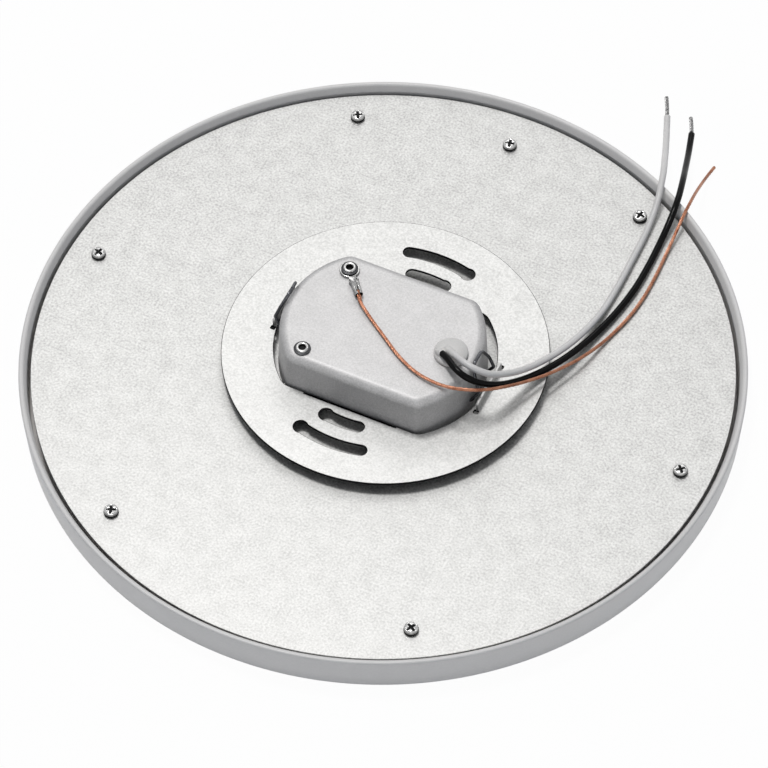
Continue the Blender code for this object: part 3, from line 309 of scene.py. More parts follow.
class Surface:
    """Grids of points and flat faces, gathered into one closed mesh."""

    def __init__(self):
        self.points = []
        self.faces = []
        self.smooth = []
        self.paint = []
        self.count = 0

    def place(self, points):
        """Adds points and gives the number of the first."""
        first = self.count
        self.points.append(np.asarray(points, float).reshape(-1, 3))
        self.count += len(self.points[-1])
        return first

    def grid(self, points, round_rows=False, round_columns=False, smooth=True, paint=0):
        """Four-cornered faces between the neighbours of a grid of points, rows by columns.

        paint is the number of the material, one for the whole grid or one for each face.
        """
        rows, columns = points.shape[:2]
        index = self.place(points) + np.arange(rows * columns).reshape(rows, columns)
        if round_rows:
            index = np.vstack([index, index[:1]])
        if round_columns:
            index = np.hstack([index, index[:, :1]])
        quads = np.stack([index[:-1, :-1], index[1:, :-1], index[1:, 1:], index[:-1, 1:]], axis=-1)
        self.faces += quads.reshape(-1, 4).tolist()
        self.smooth += [smooth] * (quads.size // 4)
        self.paint += np.broadcast_to(paint, quads.shape[:2]).reshape(-1).tolist()
        return self

    def cap(self, outline, height):
        """A flat face inside a convex outline: the outline drawn in towards its middle."""
        middle = outline.mean(axis=0)
        rows = [middle + (outline - middle) * share for share in CAP_SHARES]
        points = np.stack([np.column_stack([row, np.full(len(row), height)]) for row in rows])
        return self.grid(points, round_columns=True, smooth=False)

    def flat(self, loops, height, paint=0):
        """A flat face at a height, between an outline and the holes in it."""
        rings = [np.column_stack([loop, np.full(len(loop), height)]) for loop in loops]
        first = self.place(np.vstack(rings))
        corners = tessellate_polygon([[Vector(point) for point in ring] for ring in rings])
        self.faces += [[first + i for i in corner] for corner in corners]
        self.smooth += [False] * len(corners)
        self.paint += [paint] * len(corners)
        return self

    def join(self, other, move):
        """Takes in another surface, each point of it multiplied by a 4 by 4 matrix."""
        matrix = np.array(move)
        points = np.vstack(other.points) @ matrix[:3, :3].T + matrix[:3, 3]
        first = self.place(points)
        self.faces += [[first + i for i in face] for face in other.faces]
        self.smooth += other.smooth
        self.paint += other.paint
        return self

    def piece(self, name, *materials, replaces, slot, body=LIGHT):
        """The finished piece: doubles merged, faces turned outwards, riding on its body."""
        mesh = bpy.data.meshes.new(name)
        mesh.from_pydata(np.vstack(self.points).tolist(), [], self.faces)
        for material in materials:
            mesh.materials.append(material)
        mesh.polygons.foreach_set("use_smooth", self.smooth)
        mesh.polygons.foreach_set("material_index", self.paint)
        body_mesh = bmesh.new()
        body_mesh.from_mesh(mesh)
        bmesh.ops.remove_doubles(body_mesh, verts=body_mesh.verts, dist=MERGE_REACH)
        bmesh.ops.recalc_face_normals(body_mesh, faces=body_mesh.faces)
        body_mesh.to_mesh(mesh)
        body_mesh.free()
        piece = linked(name, mesh)
        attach(piece, body)
        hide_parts(*replaces)
        return piece


def linked(name, data):
    """A new object of the scene."""
    thing = bpy.data.objects.new(name, data)
    bpy.context.scene.collection.objects.link(thing)
    return thing


def middle_of(box):
    """The middle of a box's plan."""
    return (box[0].x + box[1].x) / 2, (box[0].y + box[1].y) / 2


def side_lengths(line):
    """The distances between the neighbours on a line of points."""
    return np.linalg.norm(np.diff(line, axis=0), axis=1)


def run_along(line):
    """The length run at each point of a line, from 0 at the first."""
    return np.concatenate([[0], np.cumsum(side_lengths(line))])


def spaced(line, count):
    """Points on a line at even distances along it, both ends included."""
    run = run_along(line)
    places = np.linspace(0, run[-1], count)
    return np.stack([np.interp(places, run, values) for values in line.T], axis=1)


def around(sides):
    """Angles of a full turn, without the last that meets the first."""
    return np.arange(sides) * 2 * pi / sides


def round_points(centre, radius, angles):
    """Points on a circle: the centre plus the radius times cosine and sine."""
    return np.column_stack([centre[0] + radius * np.cos(angles), centre[1] + radius * np.sin(angles)])


def circle(radius, sides, centre=(0, 0)):
    """Points on a whole circle, anticlockwise."""
    return round_points(centre, radius, around(sides))


def arc(centre, radius, start, stop, steps):
    """Points on an arc between two angles in degrees, both ends included."""
    return round_points(centre, radius, np.radians(np.linspace(start, stop, steps + 1)))


def softened(corners, radii, steps=5, closed=False):
    """A line through corners, each replaced by an arc of its radius that touches both of its sides."""
    corners = np.asarray(corners, float)
    line = []
    for i, radius in enumerate(radii):
        corner = corners[i]
        if radius == 0 or (not closed and i in (0, len(corners) - 1)):
            line.append(corner[None])
            continue
        back = corners[i - 1] - corner
        ahead = corners[(i + 1) % len(corners)] - corner
        lengths = np.linalg.norm(back), np.linalg.norm(ahead)
        back, ahead = back / lengths[0], ahead / lengths[1]
        half = np.arccos(np.clip(back @ ahead, -1, 1)) / 2
        reach = min(radius / tan(half), *(0.5 * length for length in lengths))
        centre = corner + (back + ahead) / np.linalg.norm(back + ahead) * reach / cos(half)
        first, last = corner + back * reach - centre, corner + ahead * reach - centre
        sweep = pi - 2 * half
        share = np.linspace(0, 1, steps + 1)[:, None]
        mix = np.sin((1 - share) * sweep) * first + np.sin(share * sweep) * last
        line.append(centre + mix / sin(sweep))
    return np.vstack(line)


def turned(profile, sides, centre=(0, 0), bottom=0.0):
    """Grid of a profile of (radius, height) points carried round a vertical axis."""
    profile = np.asarray(profile, float)
    angles = around(sides)
    radius = profile[:, :1]
    x = centre[0] + radius * np.cos(angles)
    y = centre[1] + radius * np.sin(angles)
    return np.stack([x, y, np.broadcast_to(bottom + profile[:, 1:], x.shape)], axis=-1)


def inset_outline(outline, inset):
    """An outline moved inwards: each point goes along the mean of its two sides' normals."""
    ahead = np.roll(outline, -1, axis=0) - outline
    normal = np.column_stack([-ahead[:, 1], ahead[:, 0]])
    normal /= np.linalg.norm(normal, axis=1)[:, None]
    mean = normal + np.roll(normal, 1, axis=0)
    mean /= np.linalg.norm(mean, axis=1)[:, None]
    slant = np.sum(mean * normal, axis=1)[:, None]
    return outline + mean * inset / np.maximum(slant, LEAST_SLANT)


def edge_strip(outline, bottom, top, edge, steps=3):
    """Grid down the edge of a plate: a rounded corner of radius edge at its top and bottom."""
    angles = np.linspace(0, pi / 2, steps + 1)
    inset = edge * (1 - np.sin(angles))
    upper = top - edge * (1 - np.cos(angles))
    lower = bottom + edge * (1 - np.cos(angles))
    insets = np.concatenate([inset, inset[::-1]])
    heights = np.concatenate([upper, lower[::-1]])
    rows = [
        np.column_stack([inset_outline(outline, less), np.full(len(outline), height)])
        for less, height in zip(insets, heights)
    ]
    return np.stack(rows)


def plate(outlines, bottom, top, edge, under=0):
    """A plate with rounded edges: the outer outline runs anticlockwise and each hole clockwise.

    under is the number of the material on its edges and its lower face, where the mounting plate takes its
    painted shade.
    """
    surface = Surface()
    for outline in outlines:
        surface.grid(edge_strip(outline, bottom, top, edge), round_columns=True, paint=under)
    inner = [inset_outline(outline, edge) for outline in outlines]
    return surface.flat(inner, top).flat(inner, bottom, under)


def smooth_route(points, step):
    """Evenly spaced points on a centripetal Catmull-Rom curve through the route's points."""
    route = np.array(points, float)
    route = np.vstack([2 * route[0] - route[1], route, 2 * route[-1] - route[-2]])
    knots = np.concatenate([[0], np.cumsum(side_lengths(route) ** 0.5)])
    dense = []
    for i in range(1, len(route) - 2):
        t = np.linspace(knots[i], knots[i + 1], ROUTE_SAMPLES, endpoint=False)[:, None]
        near = [
            (route[j] * (knots[j + 1] - t) + route[j + 1] * (t - knots[j])) / (knots[j + 1] - knots[j])
            for j in (i - 1, i, i + 1)
        ]
        wide = [
            (near[j] * (knots[i + 1 + j] - t) + near[j + 1] * (t - knots[i - 1 + j]))
            / (knots[i + 1 + j] - knots[i - 1 + j])
            for j in (0, 1)
        ]
        dense.append((wide[0] * (knots[i + 1] - t) + wide[1] * (t - knots[i])) / (knots[i + 1] - knots[i]))
    dense = np.vstack([*dense, route[-2]])
    return spaced(dense, int(np.ceil(run_along(dense)[-1] / step)) + 1)


def carried(path, section, turn=None, reference=(0, 0, 1), blunt=0.12, swell=1.0):
    """Grid of a round section carried along a path, turned by an angle at each point, with capped ends.

    section is the radius at each of its angles, and swell what it is multiplied by at each point.
    Each end is chamfered over blunt times the radius.
    """
    path = np.asarray(path, float)
    along = np.gradient(path, axis=0)
    along /= np.linalg.norm(along, axis=1)[:, None]
    side = np.cross(np.asarray(reference, float), along)
    side /= np.linalg.norm(side, axis=1)[:, None]
    up = np.cross(along, side)
    rim = blunt * section.max()
    start = np.vstack([path[:1], path[:1], path[:1] + along[:1] * rim])
    path = np.vstack([start, path[1:-1], path[-1:] - along[-1:] * rim])
    path = np.vstack([path, np.repeat(path[-1:] + along[-1:] * rim, 2, axis=0)])
    side, up = (np.vstack([way[:1], way[:1], way, way[-1:], way[-1:]]) for way in (side, up))
    scale = np.ones(len(path))
    scale[[0, -1]] = 0
    scale[[1, -2]] = 1 - blunt
    scale[2:-2] = swell
    turn = np.zeros(len(path)) if turn is None else np.concatenate([[turn[0]] * 2, turn, [turn[-1]] * 2])
    angles = around(len(section)) + turn[:, None]
    reach = scale[:, None] * section
    return (
        path[:, None]
        + (reach * np.cos(angles))[..., None] * side[:, None]
        + (reach * np.sin(angles))[..., None] * up[:, None]
    )


# Materials: the spans of the noise that the colours and the roughness run over
COLOUR_SPAN = (0.34, 0.66)
ROUGHNESS_SPAN = (0.3, 0.7)


def colour(code):
    """An sRGB hex colour as the linear colour that the shaders take."""
    parts = np.array([int(code[i : i + 2], 16) for i in (0, 2, 4)]) / 255
    linear = np.where(parts <= 0.04045, parts / 12.92, ((parts + 0.055) / 1.055) ** 2.4)
    return (*linear.tolist(), 1.0)


def add(tree, kind, values=(), links=(), **settings):
    """Adds a node with its own settings, the values of its sockets and the links into them."""
    node = tree.nodes.new(kind)
    for name, value in settings.items():
        setattr(node, name, value)
    for name, value in dict(values).items():
        node.inputs[name].default_value = value
    for name, socket in dict(links).items():
        tree.links.new(socket, node.inputs[name])
    return node


def ranged(tree, value, span, low=0.0, high=1.0):
    """The value's share of a span, clamped, as a value from low to high."""
    values = {"From Min": span[0], "From Max": span[1], "To Min": low, "To Max": high}
    return add(tree, "ShaderNodeMapRange", values, {"Value": value}).outputs[0]


def finish(
    name, light, dark, roughness, metallic=0.0, grain=0.5, depth=0.00001, wear=2.0, grain_share=0.5, **extra
):
    """A finish that varies between two colours.

    grain is the size in mm of its fine marks, which also raise the surface by depth, and wear the size
    of its broad uneven patches. grain_share is how much of the colour follows the fine marks.
    """
    material = bpy.data.materials.new(name)
    material.use_nodes = True
    tree = material.node_tree
    shader = tree.nodes["Principled BSDF"]
    shader.inputs["Metallic"].default_value = metallic
    for socket, value in extra.items():
        shader.inputs[socket.replace("_", " ")].default_value = value
    place = add(tree, "ShaderNodeTexCoord").outputs["Object"]
    fine = add(tree, "ShaderNodeTexNoise", {"Scale": MM_PER_METRE / grain, "Detail": 2.0}, {"Vector": place})
    broad = add(tree, "ShaderNodeTexNoise", {"Scale": MM_PER_METRE / wear, "Detail": 3.0}, {"Vector": place})
    blend = add(
        tree,
        "ShaderNodeMix",
        {0: grain_share},
        {2: broad.outputs["Fac"], 3: fine.outputs["Fac"]},
        data_type="FLOAT",
    )
    share = ranged(tree, blend.outputs[0], COLOUR_SPAN)
    mixed = add(tree, "ShaderNodeMix", {6: colour(dark), 7: colour(light)}, {0: share}, data_type="RGBA")
    rough = ranged(tree, blend.outputs[0], ROUGHNESS_SPAN, *roughness)
    bump = add(tree, "ShaderNodeBump", {"Strength": 1.0, "Distance": depth}, {"Height": fine.outputs["Fac"]})
    tree.links.new(mixed.outputs[2], shader.inputs["Base Color"])
    tree.links.new(rough, shader.inputs["Roughness"])
    tree.links.new(bump.outputs[0], shader.inputs["Normal"])
    return material


# Baked silver paint over pressed steel: an even satin grey with a barely seen orange peel
SILVER_PAINT = finish(
    "silver_paint_baked", "e9e6e3", "e2dfdc", (0.36, 0.44), grain=0.8, depth=0.000004, wear=12
)
# Galvanised sheet, skin passed: bright grey zinc with a fine crystal speckle
GALVANISED_SHEET = finish(
    "galvanised_sheet_rolled", "bdbdbc", "929291", (0.42, 0.58),
    metallic=0.85, grain=0.8, wear=6, grain_share=0.75,
)
# The same zinc on the stamped plate: slightly duller where the press has rubbed it
GALVANISED_STAMPED = finish(
    "galvanised_steel_stamped", "c1c1c0", "9f9f9e", (0.42, 0.58),
    metallic=0.85, grain=0.7, wear=6, grain_share=0.75,
)
# Painted shade on the stamped plate's sheared edges and underside: near black, so that the gap below it
# looks dark
PAINTED_SHADE_UNDERSIDE = finish(
    "galvanised_steel_painted_shade", "151517", "0b0b0c", (0.5, 0.65), grain=0.4, Specular_IOR_Level=0.1
)
# Drawn sheet of the driver's box: a neutral satin grey with the fine grain of tumbling
DRAWN_SATIN = finish(
    "satin_alloy_drawn", "c1c0c0", "a7a6a6", (0.5, 0.6), metallic=0.6, grain=0.6, wear=8, grain_share=0.7
)
# Nickel plated steel: a bright hard shine that is broken by small handling marks
PLATED_STEEL = finish(
    "plated_steel_polished", "c8c8c7", "939393", (0.14, 0.26), metallic=1.0, grain=0.4, wear=1.5
)
# Painted shade in the screws' recesses and the rivets' bores: a near black steel where little light gets in
PAINTED_SHADE_RECESS = finish(
    "plated_steel_recess_painted_shade", "1c1c1d", "0e0e0e", (0.5, 0.7), grain=0.3, wear=1, Specular_IOR_Level=0.15
)
# The rivets' flanges: a darker grey alloy, painted shade standing in for the dark surroundings that they
# reflect
FLANGE_PAINTED_SHADE = finish("satin_alloy_flange_painted_shade", "4e4f51", "39393b", (0.3, 0.42), metallic=0.9, grain=0.3, wear=1)
# Tin plated brass, stamped: a soft white shine, uneven where it was crimped
TINNED_BRASS = finish(
    "tinned_metal_stamped", "b9b9b8", "7e7e7e", (0.12, 0.2),
    metallic=1.0, grain=0.6, depth=0.000003, wear=2.5,
)
# Tinned copper strands: a duller grey white between dark furrows
TINNED_STRANDS = finish("tinned_metal_strands", "a5a5a5", "4b4b4c", (0.2, 0.4), metallic=1.0, wear=1)
# Drawn spring wire: dark oiled steel with a narrow highlight
SPRING_WIRE = finish(
    "spring_steel_drawn", "68696d", "38393c", (0.1, 0.18), metallic=1.0, grain=0.3, wear=1.0
)
# Bare copper strands, slightly tarnished: reddish brown with bright crowns
BARE_COPPER = finish(
    "bare_copper_stranded", "bb8a71", "7a4a37", (0.24, 0.36), metallic=1.0, grain=0.3, wear=4
)
# White extruded vinyl: a smooth soft gloss, slightly uneven
WHITE_VINYL = finish("white_insulation_extruded", "e9e6e3", "dddad7", (0.34, 0.44), wear=6)
# Black extruded vinyl: deep and glossy, with a narrow highlight
BLACK_VINYL = finish(
    "black_insulation_extruded", "0b0b0c", "060607", (0.13, 0.19), wear=6, Specular_IOR_Level=0.08
)
# Red extruded vinyl of the strip's lead
RED_VINYL = finish("red_insulation_extruded", "b8322c", "a02823", (0.32, 0.42), wear=6)
# Moulded natural nylon: milky and faintly see-through, with a fine mould texture
NATURAL_NYLON = finish(
    "natural_nylon_moulded", "e6e3df", "dcd9d5", (0.36, 0.46),
    wear=4, Subsurface_Weight=0.05, Subsurface_Radius=(0.002, 0.002, 0.002),
)
# Opal acrylic diffuser, extruded with a light scattering filler: an even milky white
OPAL_PLASTIC = finish("opal_plastic_extruded", "f1f2f1", "e9eaea", (0.4, 0.5), grain=0.6, wear=20)
# Clear acrylic light guide, laser dotted on its back face
CLEAR_ACRYLIC = finish(
    "clear_acrylic_dotted", "f4f8f8", "e4ecec", (0.04, 0.2),
    grain=1.2, wear=8, IOR=1.49, Transmission_Weight=0.9,
)
# White polyester film and printed strip: flat paper white
WHITE_FILM = finish("white_film_calendered", "f2f2f0", "e6e6e4", (0.5, 0.62), grain=0.4, wear=6)
# Soft grey foam sheet: open cells that give a grainy dark surface
GREY_FOAM = finish("grey_foam_cut", "5a5a5b", "3b3b3d", (0.85, 0.95), grain=0.6, depth=0.0002)
# Glass laminate board under green lacquer: copper shows through as paler patches
BOARD_LAMINATE = finish("board_laminate_lacquered", "2f7a45", "1f5f34", (0.32, 0.45), wear=1.4)
# Moulded black epoxy of the chip and the rectifier
BLACK_RESIN = finish("black_resin_moulded", "2b2b2c", "1b1b1c", (0.5, 0.62), grain=0.2, wear=1)
# Shrunk black sleeve of the capacitors and the tray's black film
BLACK_SLEEVE = finish("black_sleeve_shrunk", "2a2a2e", "1a1a1e", (0.3, 0.42), grain=0.4)
# Yellow polyester tape round the transformer
YELLOW_TAPE = finish("yellow_tape_wound", "dfb83a", "c9a02a", (0.3, 0.42), wear=1.5)
# Dipped blue epoxy of the film capacitor
BLUE_COATING = finish("blue_coating_dipped", "2f5fa8", "234b8c", (0.2, 0.32), wear=1.5)
# Sintered ferrite of the choke: matt dark grey with fine pores
FERRITE = finish("ferrite_sintered", "4a4a4c", "333335", (0.6, 0.75), grain=0.2, depth=0.00003, wear=1)


def aim_camera():
    """The camera at the photograph's angle, turned round the upright axis to the part's own frame."""
    elevation, roll = radians(CAMERA_ELEVATION), radians(CAMERA_ROLL)
    right = Vector((1, 0, 0))
    up = Vector((0, sin(elevation), cos(elevation)))
    back = Vector((0, -cos(elevation), sin(elevation)))
    side = cos(roll) * right + sin(roll) * up
    top = -sin(roll) * right + cos(roll) * up
    eye = back * CAMERA_DISTANCE + CAMERA_SLIDE[0] * side + CAMERA_SLIDE[1] * top
    eye.z += CAMERA_AIM_HEIGHT
    pose = Matrix((side, top, back)).transposed().to_4x4()
    pose.translation = eye
    data = bpy.data.cameras.new("camera")
    data.sensor_width = CAMERA_SENSOR
    data.lens = CAMERA_LENS
    data.clip_end = CAMERA_FAR
    camera = linked("camera", data)
    camera.matrix_world = Matrix.Rotation(radians(CAMERA_AZIMUTH), 4, "Z") @ pose
    bpy.context.scene.camera = camera


# Studio: SKY_COLOUR lights from all round, while the camera, metal and glass see SEEN_COLOUR there, and
# a share of it on the floor. Each lamp has its place as the camera looks, its width and its watts
SKY_COLOUR = (0.115, 0.138, 0.172, 1)
SEEN_COLOUR = (1, 1, 1, 1)
FLOOR_COLOUR = "fafafa"
FLOOR_GLOW_SHARE = 0.97
FLOOR_SIZE = 3.0
FLOOR_DROP = 0.0002
LAMP_COLOUR = (1.0, 0.99, 0.975)
LAMPS = (
    ("lamp_above", (-0.3, 0.57, 2.07), 0.45, 21.8),
    ("lamp_behind", (0.2, 1.6, 1.4), 1.0, 5),
    ("lamp_front", (0.2, -1.6, 0.9), 1.2, 3.6),
)


def seen_share(tree):
    """1 for rays from the camera and for those that metal or glass sends on, and 0 for the rest."""
    path = add(tree, "ShaderNodeLightPath")
    share = path.outputs["Is Camera Ray"]
    for ray in ("Is Glossy Ray", "Is Transmission Ray"):
        links = {0: share, 1: path.outputs[ray]}
        share = add(tree, "ShaderNodeMath", links=links, operation="MAXIMUM").outputs[0]
    return share


def plain_studio():
    """A white floor that keeps the object's shadow, a white surround and three soft lamps."""
    world = bpy.data.worlds.new("surround")
    bpy.context.scene.world = world
    world.use_nodes = True
    tree = world.node_tree
    background = tree.nodes["Background"]
    light = add(
        tree, "ShaderNodeMix", {6: SKY_COLOUR, 7: SEEN_COLOUR}, {0: seen_share(tree)}, data_type="RGBA"
    )
    tree.links.new(light.outputs[2], background.inputs["Color"])
    background.inputs["Strength"].default_value = 1.0

    material = bpy.data.materials.new("floor_white_paper")
    material.use_nodes = True
    tree = material.node_tree
    tree.nodes.remove(tree.nodes["Principled BSDF"])
    paper = add(tree, "ShaderNodeBsdfDiffuse", {"Color": colour(FLOOR_COLOUR)})
    glow = add(tree, "ShaderNodeEmission", {"Color": SEEN_COLOUR, "Strength": 1.0})
    share = add(tree, "ShaderNodeMath", {1: FLOOR_GLOW_SHARE}, {0: seen_share(tree)}, operation="MULTIPLY")
    mix = add(
        tree,
        "ShaderNodeMixShader",
        links={0: share.outputs[0], 1: paper.outputs[0], 2: glow.outputs[0]},
    )
    tree.links.new(mix.outputs[0], tree.nodes["Material Output"].inputs["Surface"])
    mesh = bpy.data.meshes.new("floor")
    half = FLOOR_SIZE / 2
    corners = [(x, y, -FLOOR_DROP) for x, y in ((-half, -half), (half, -half), (half, half), (-half, half))]
    mesh.from_pydata(corners, [], [(0, 1, 2, 3)])
    mesh.materials.append(material)
    floor = linked("floor", mesh)

    view = Matrix.Rotation(radians(CAMERA_AZIMUTH), 3, "Z")
    for name, place, size, power in LAMPS:
        data = bpy.data.lights.new(name, "AREA")
        data.shape = "DISK"
        data.size = size
        data.energy = power
        data.color = LAMP_COLOUR
        lamp = linked(name, data)
        lamp.location = view @ Vector(place)
        lamp.rotation_euler = lamp.location.to_track_quat("Z", "Y").to_euler()
    bpy.context.scene.view_settings.view_transform = "Standard"


def supply_lead(name, route, tip, vinyl, slot):
    """A round insulated lead along its route, with a bare stranded tip soldered round."""
    path = smooth_route(route, LEAD_STEP)
    section = np.full(LEAD_SIDES, LEAD_DIAMETER / 2)
    lead = Surface().grid(carried(path, section), round_columns=True)
    lead = lead.piece(name + "_insulated", vinyl, replaces=(name,), slot=slot)
    tip_path = smooth_route(tip, TIP_STEP)
    tip_path[0] += (tip_path[1] - tip_path[0]) / np.linalg.norm(tip_path[1] - tip_path[0]) * FIT
    section = strand_section(TIP_DIAMETER, TIP_STRANDS)
    grid = carried(tip_path, section, strand_turn(tip_path, TIP_LAY), blunt=TIP_BLUNT)
    end = Surface().grid(grid, round_columns=True)
    end = end.piece(name + "_tip_strands", TINNED_STRANDS, replaces=(name + "_tip",), slot="tinned_metal")


def strand_section(diameter, strands, samples=8):
    """The outline of strands laid round a core: for each strand an arc of its own circle."""
    reach = diameter / 2 / (1 + sin(pi / strands))
    own = diameter / 2 - reach
    half = pi / strands
    angle = np.linspace(-half, half, samples, endpoint=False)
    one = reach * np.cos(angle) + np.sqrt(np.maximum(own**2 - (reach * np.sin(angle)) ** 2, 0))
    return np.tile(one, strands)


def strand_turn(path, lay):
    """The angle that the strands have turned at each point, one full turn for each lay length."""
    return run_along(path) / lay * 2 * pi


def ground_lead():
    """Bare copper strands twisted along the route, bulging a little where they leave the terminal.

    The bulge is a bell curve of the length run.
    """
    path = smooth_route(GROUND_ROUTE, GROUND_STEP)
    run = np.arange(len(path)) * GROUND_STEP
    loose = 1 + GROUND_BULGE * np.exp(-(((run - GROUND_BULGE_AT) / GROUND_BULGE_LENGTH) ** 2))
    section = strand_section(GROUND_DIAMETER, GROUND_STRANDS)
    grid = carried(path, section, strand_turn(path, GROUND_LAY), swell=loose)
    lead = Surface().grid(grid, round_columns=True)
    lead = lead.piece("ground_lead_strands", BARE_COPPER, replaces=("ground_lead",), slot="bare_copper")


def rim_frame():
    """The bezel: its section carried round, with rounded foot and crest, and a boss under each screw."""
    outer = RIM[1].x
    height = RIM[1].z
    opening = outer - BEZEL_WIDTH
    corners = [
        (opening, 0),
        (outer - RIM_LEAN, 0),
        (outer, height),
        (outer - CREST_WIDTH, height),
        (outer - RIM_WALL, height - CREST_DROP),
        (outer - RIM_WALL, BEZEL_SHEET),
        (opening, BEZEL_SHEET),
    ]
    profile = softened(corners, RIM_ROUNDINGS, steps=6, closed=True)
    surface = Surface().grid(turned(profile, RIM_SIDES), round_rows=True, round_columns=True)
    boss = softened(BOSS_SECTION, BOSS_ROUNDINGS, steps=2, closed=True)
    for place in SCREW_PLACES:
        surface.grid(turned(boss, BOSS_SIDES, place), round_rows=True, round_columns=True)
    surface.piece("rim_frame_turned", SILVER_PAINT, replaces=("rim_frame",), slot="silver_paint")


def back_plate():
    """The flat steel disc: an outline with the screws' holes and the hole for the light's leads."""
    holes = [circle(SCREW_HOLE, sides=24, centre=place)[::-1] for place in SCREW_PLACES]
    holes.append(circle(LEAD_HOLE, sides=32, centre=(LEAD_HOLE_X, 0))[::-1])
    outlines = [circle(BACK_PLATE[1].x, DISC_SIDES), *holes]
    surface = plate(outlines, BACK_PLATE[0].z, PLATE_TOP, SHEET_EDGE)
    surface.piece("back_plate_sheet", GALVANISED_SHEET, replaces=("back_plate",), slot="galvanised_steel")


def screw_grid(place, turn):
    """A pan head screw: a turned section whose top sinks where a cross recess is cut.

    The recess is the smaller distance to either of two crossed bars, eased at its edges, and deeper
    towards the middle. The shank's radius waves with height and angle as a thread does. The second
    result is 1 for the faces painted with shade, in the recess and on the steep side of the head.
    """
    line = spaced(softened(SCREW_HEAD, SCREW_HEAD_ROUNDINGS), SCREW_HEAD_ROWS)
    shank_height = np.linspace(-SCREW_LENGTH, 0, SCREW_SHANK_ROWS, endpoint=False)
    shank = np.column_stack([np.full(SCREW_SHANK_ROWS, SCREW_SHANK), shank_height])
    grid = turned(np.vstack([[(0, -SCREW_LENGTH)], shank, line]), SCREW_SIDES)
    angle = np.arctan2(grid[..., 1], grid[..., 0])
    wave = THREAD_DEPTH * np.cos(angle - grid[..., 2] / THREAD_PITCH * 2 * pi) - THREAD_DEPTH
    below = (grid[..., 2] < 0) & (grid[..., 2] > -THREAD_END)
    grid[..., :2] *= np.where(below, 1 + wave / SCREW_SHANK, 1)[..., None]
    x = grid[..., 0] * cos(turn) + grid[..., 1] * sin(turn)
    y = -grid[..., 0] * sin(turn) + grid[..., 1] * cos(turn)
    x, y = np.abs(x), np.abs(y)
    bars = (
        np.maximum(x / CROSS_REACH, y / CROSS_HALF_WIDTH),
        np.maximum(y / CROSS_REACH, x / CROSS_HALF_WIDTH),
    )
    eased = np.clip((CROSS_FADE_END - np.minimum(*bars)) / CROSS_FADE_LENGTH, 0, 1)
    depth = eased * (CROSS_DEPTH - CROSS_SLOPE * np.hypot(x, y))
    sunk = np.where(grid[..., 2] > CROSS_FLOOR, np.maximum(depth, 0), 0)
    grid[..., 2] -= sunk
    x, y, height = grid[:-1].transpose(2, 0, 1)
    # Painted shade: the recess's deep faces and the head's steep side take the near black material
    steep = (np.hypot(x, y) > HEAD_SIDE_RADIUS) & (height > 0) & (height < HEAD_SIDE_HEIGHT)
    dark = (steep | (sunk[:-1] > CROSS_SHADE_DEPTH)).astype(int)
    return grid + np.array([place[0], place[1], PLATE_TOP + FIT]), dark


def back_screws():
    """The seven screws that hold the back plate to the bosses, each turned its own way."""
    for number, place in enumerate(SCREW_PLACES, start=1):
        grid, dark = screw_grid(place, SCREW_STEP * number)
        surface = Surface().grid(grid, round_columns=True, paint=dark)
        node = f"back_screw_{number}"
        surface.piece(node + "_cross", PLATED_STEEL, PAINTED_SHADE_RECESS, replaces=(node,), slot="plated_steel")


def slot_outline(radius, head_degrees, tail_degrees):
    """An arc slot round the middle over +Y, with a wider round head at its end towards +X, clockwise."""
    half, head = SLOT_HALF_WIDTH, SLOT_HEAD_RADIUS
    head_at, tail_at = 90 - head_degrees, 90 + tail_degrees
    head_centre = (radius * cos(radians(head_at)), radius * sin(radians(head_at)))
    tail_centre = (radius * cos(radians(tail_at)), radius * sin(radians(tail_at)))
    opening = degrees(asin(half / head))
    reach = degrees(sqrt(head**2 - half**2) / radius)
    outer = arc((0, 0), radius + half, tail_at, head_at + reach, steps=24)
    inner = arc((0, 0), radius - half, head_at + reach, tail_at, steps=24)
    cap = arc(head_centre, head, head_at + 90 - opening, head_at - 270 + opening, steps=32)
    end = arc(tail_centre, half, tail_at + 180, tail_at, steps=16)
    return np.vstack([outer[:-1], cap, inner[1:], end[1:-1]])


def box_outline(end, half_width, curve, corner):
    """A plan with two long sides and two curved ends, with rounded corners between them, clockwise."""
    centre = end - curve
    height = half_width - corner
    along = sqrt((curve - corner) ** 2 - height**2)
    meet = degrees(atan2(height, along))
    quarter = arc((centre + along, height), corner, 90, meet, steps=10)
    bow = arc((centre, 0), curve, meet, -meet, steps=60)[1:-1]
    right = np.vstack([quarter, bow, quarter[::-1] * (1, -1)])
    side = np.linspace(right[-1], (-right[-1][0], right[-1][1]), num=30)[1:-1]
    return np.vstack([right, side, -right, -side])


def upright(along, across, place):
    """A matrix that stands a flat plate up: its x along a direction, its y up and its thickness across."""
    matrix = Matrix((along, (0, 0, 1), across)).transposed().to_4x4()
    matrix.translation = place
    return matrix


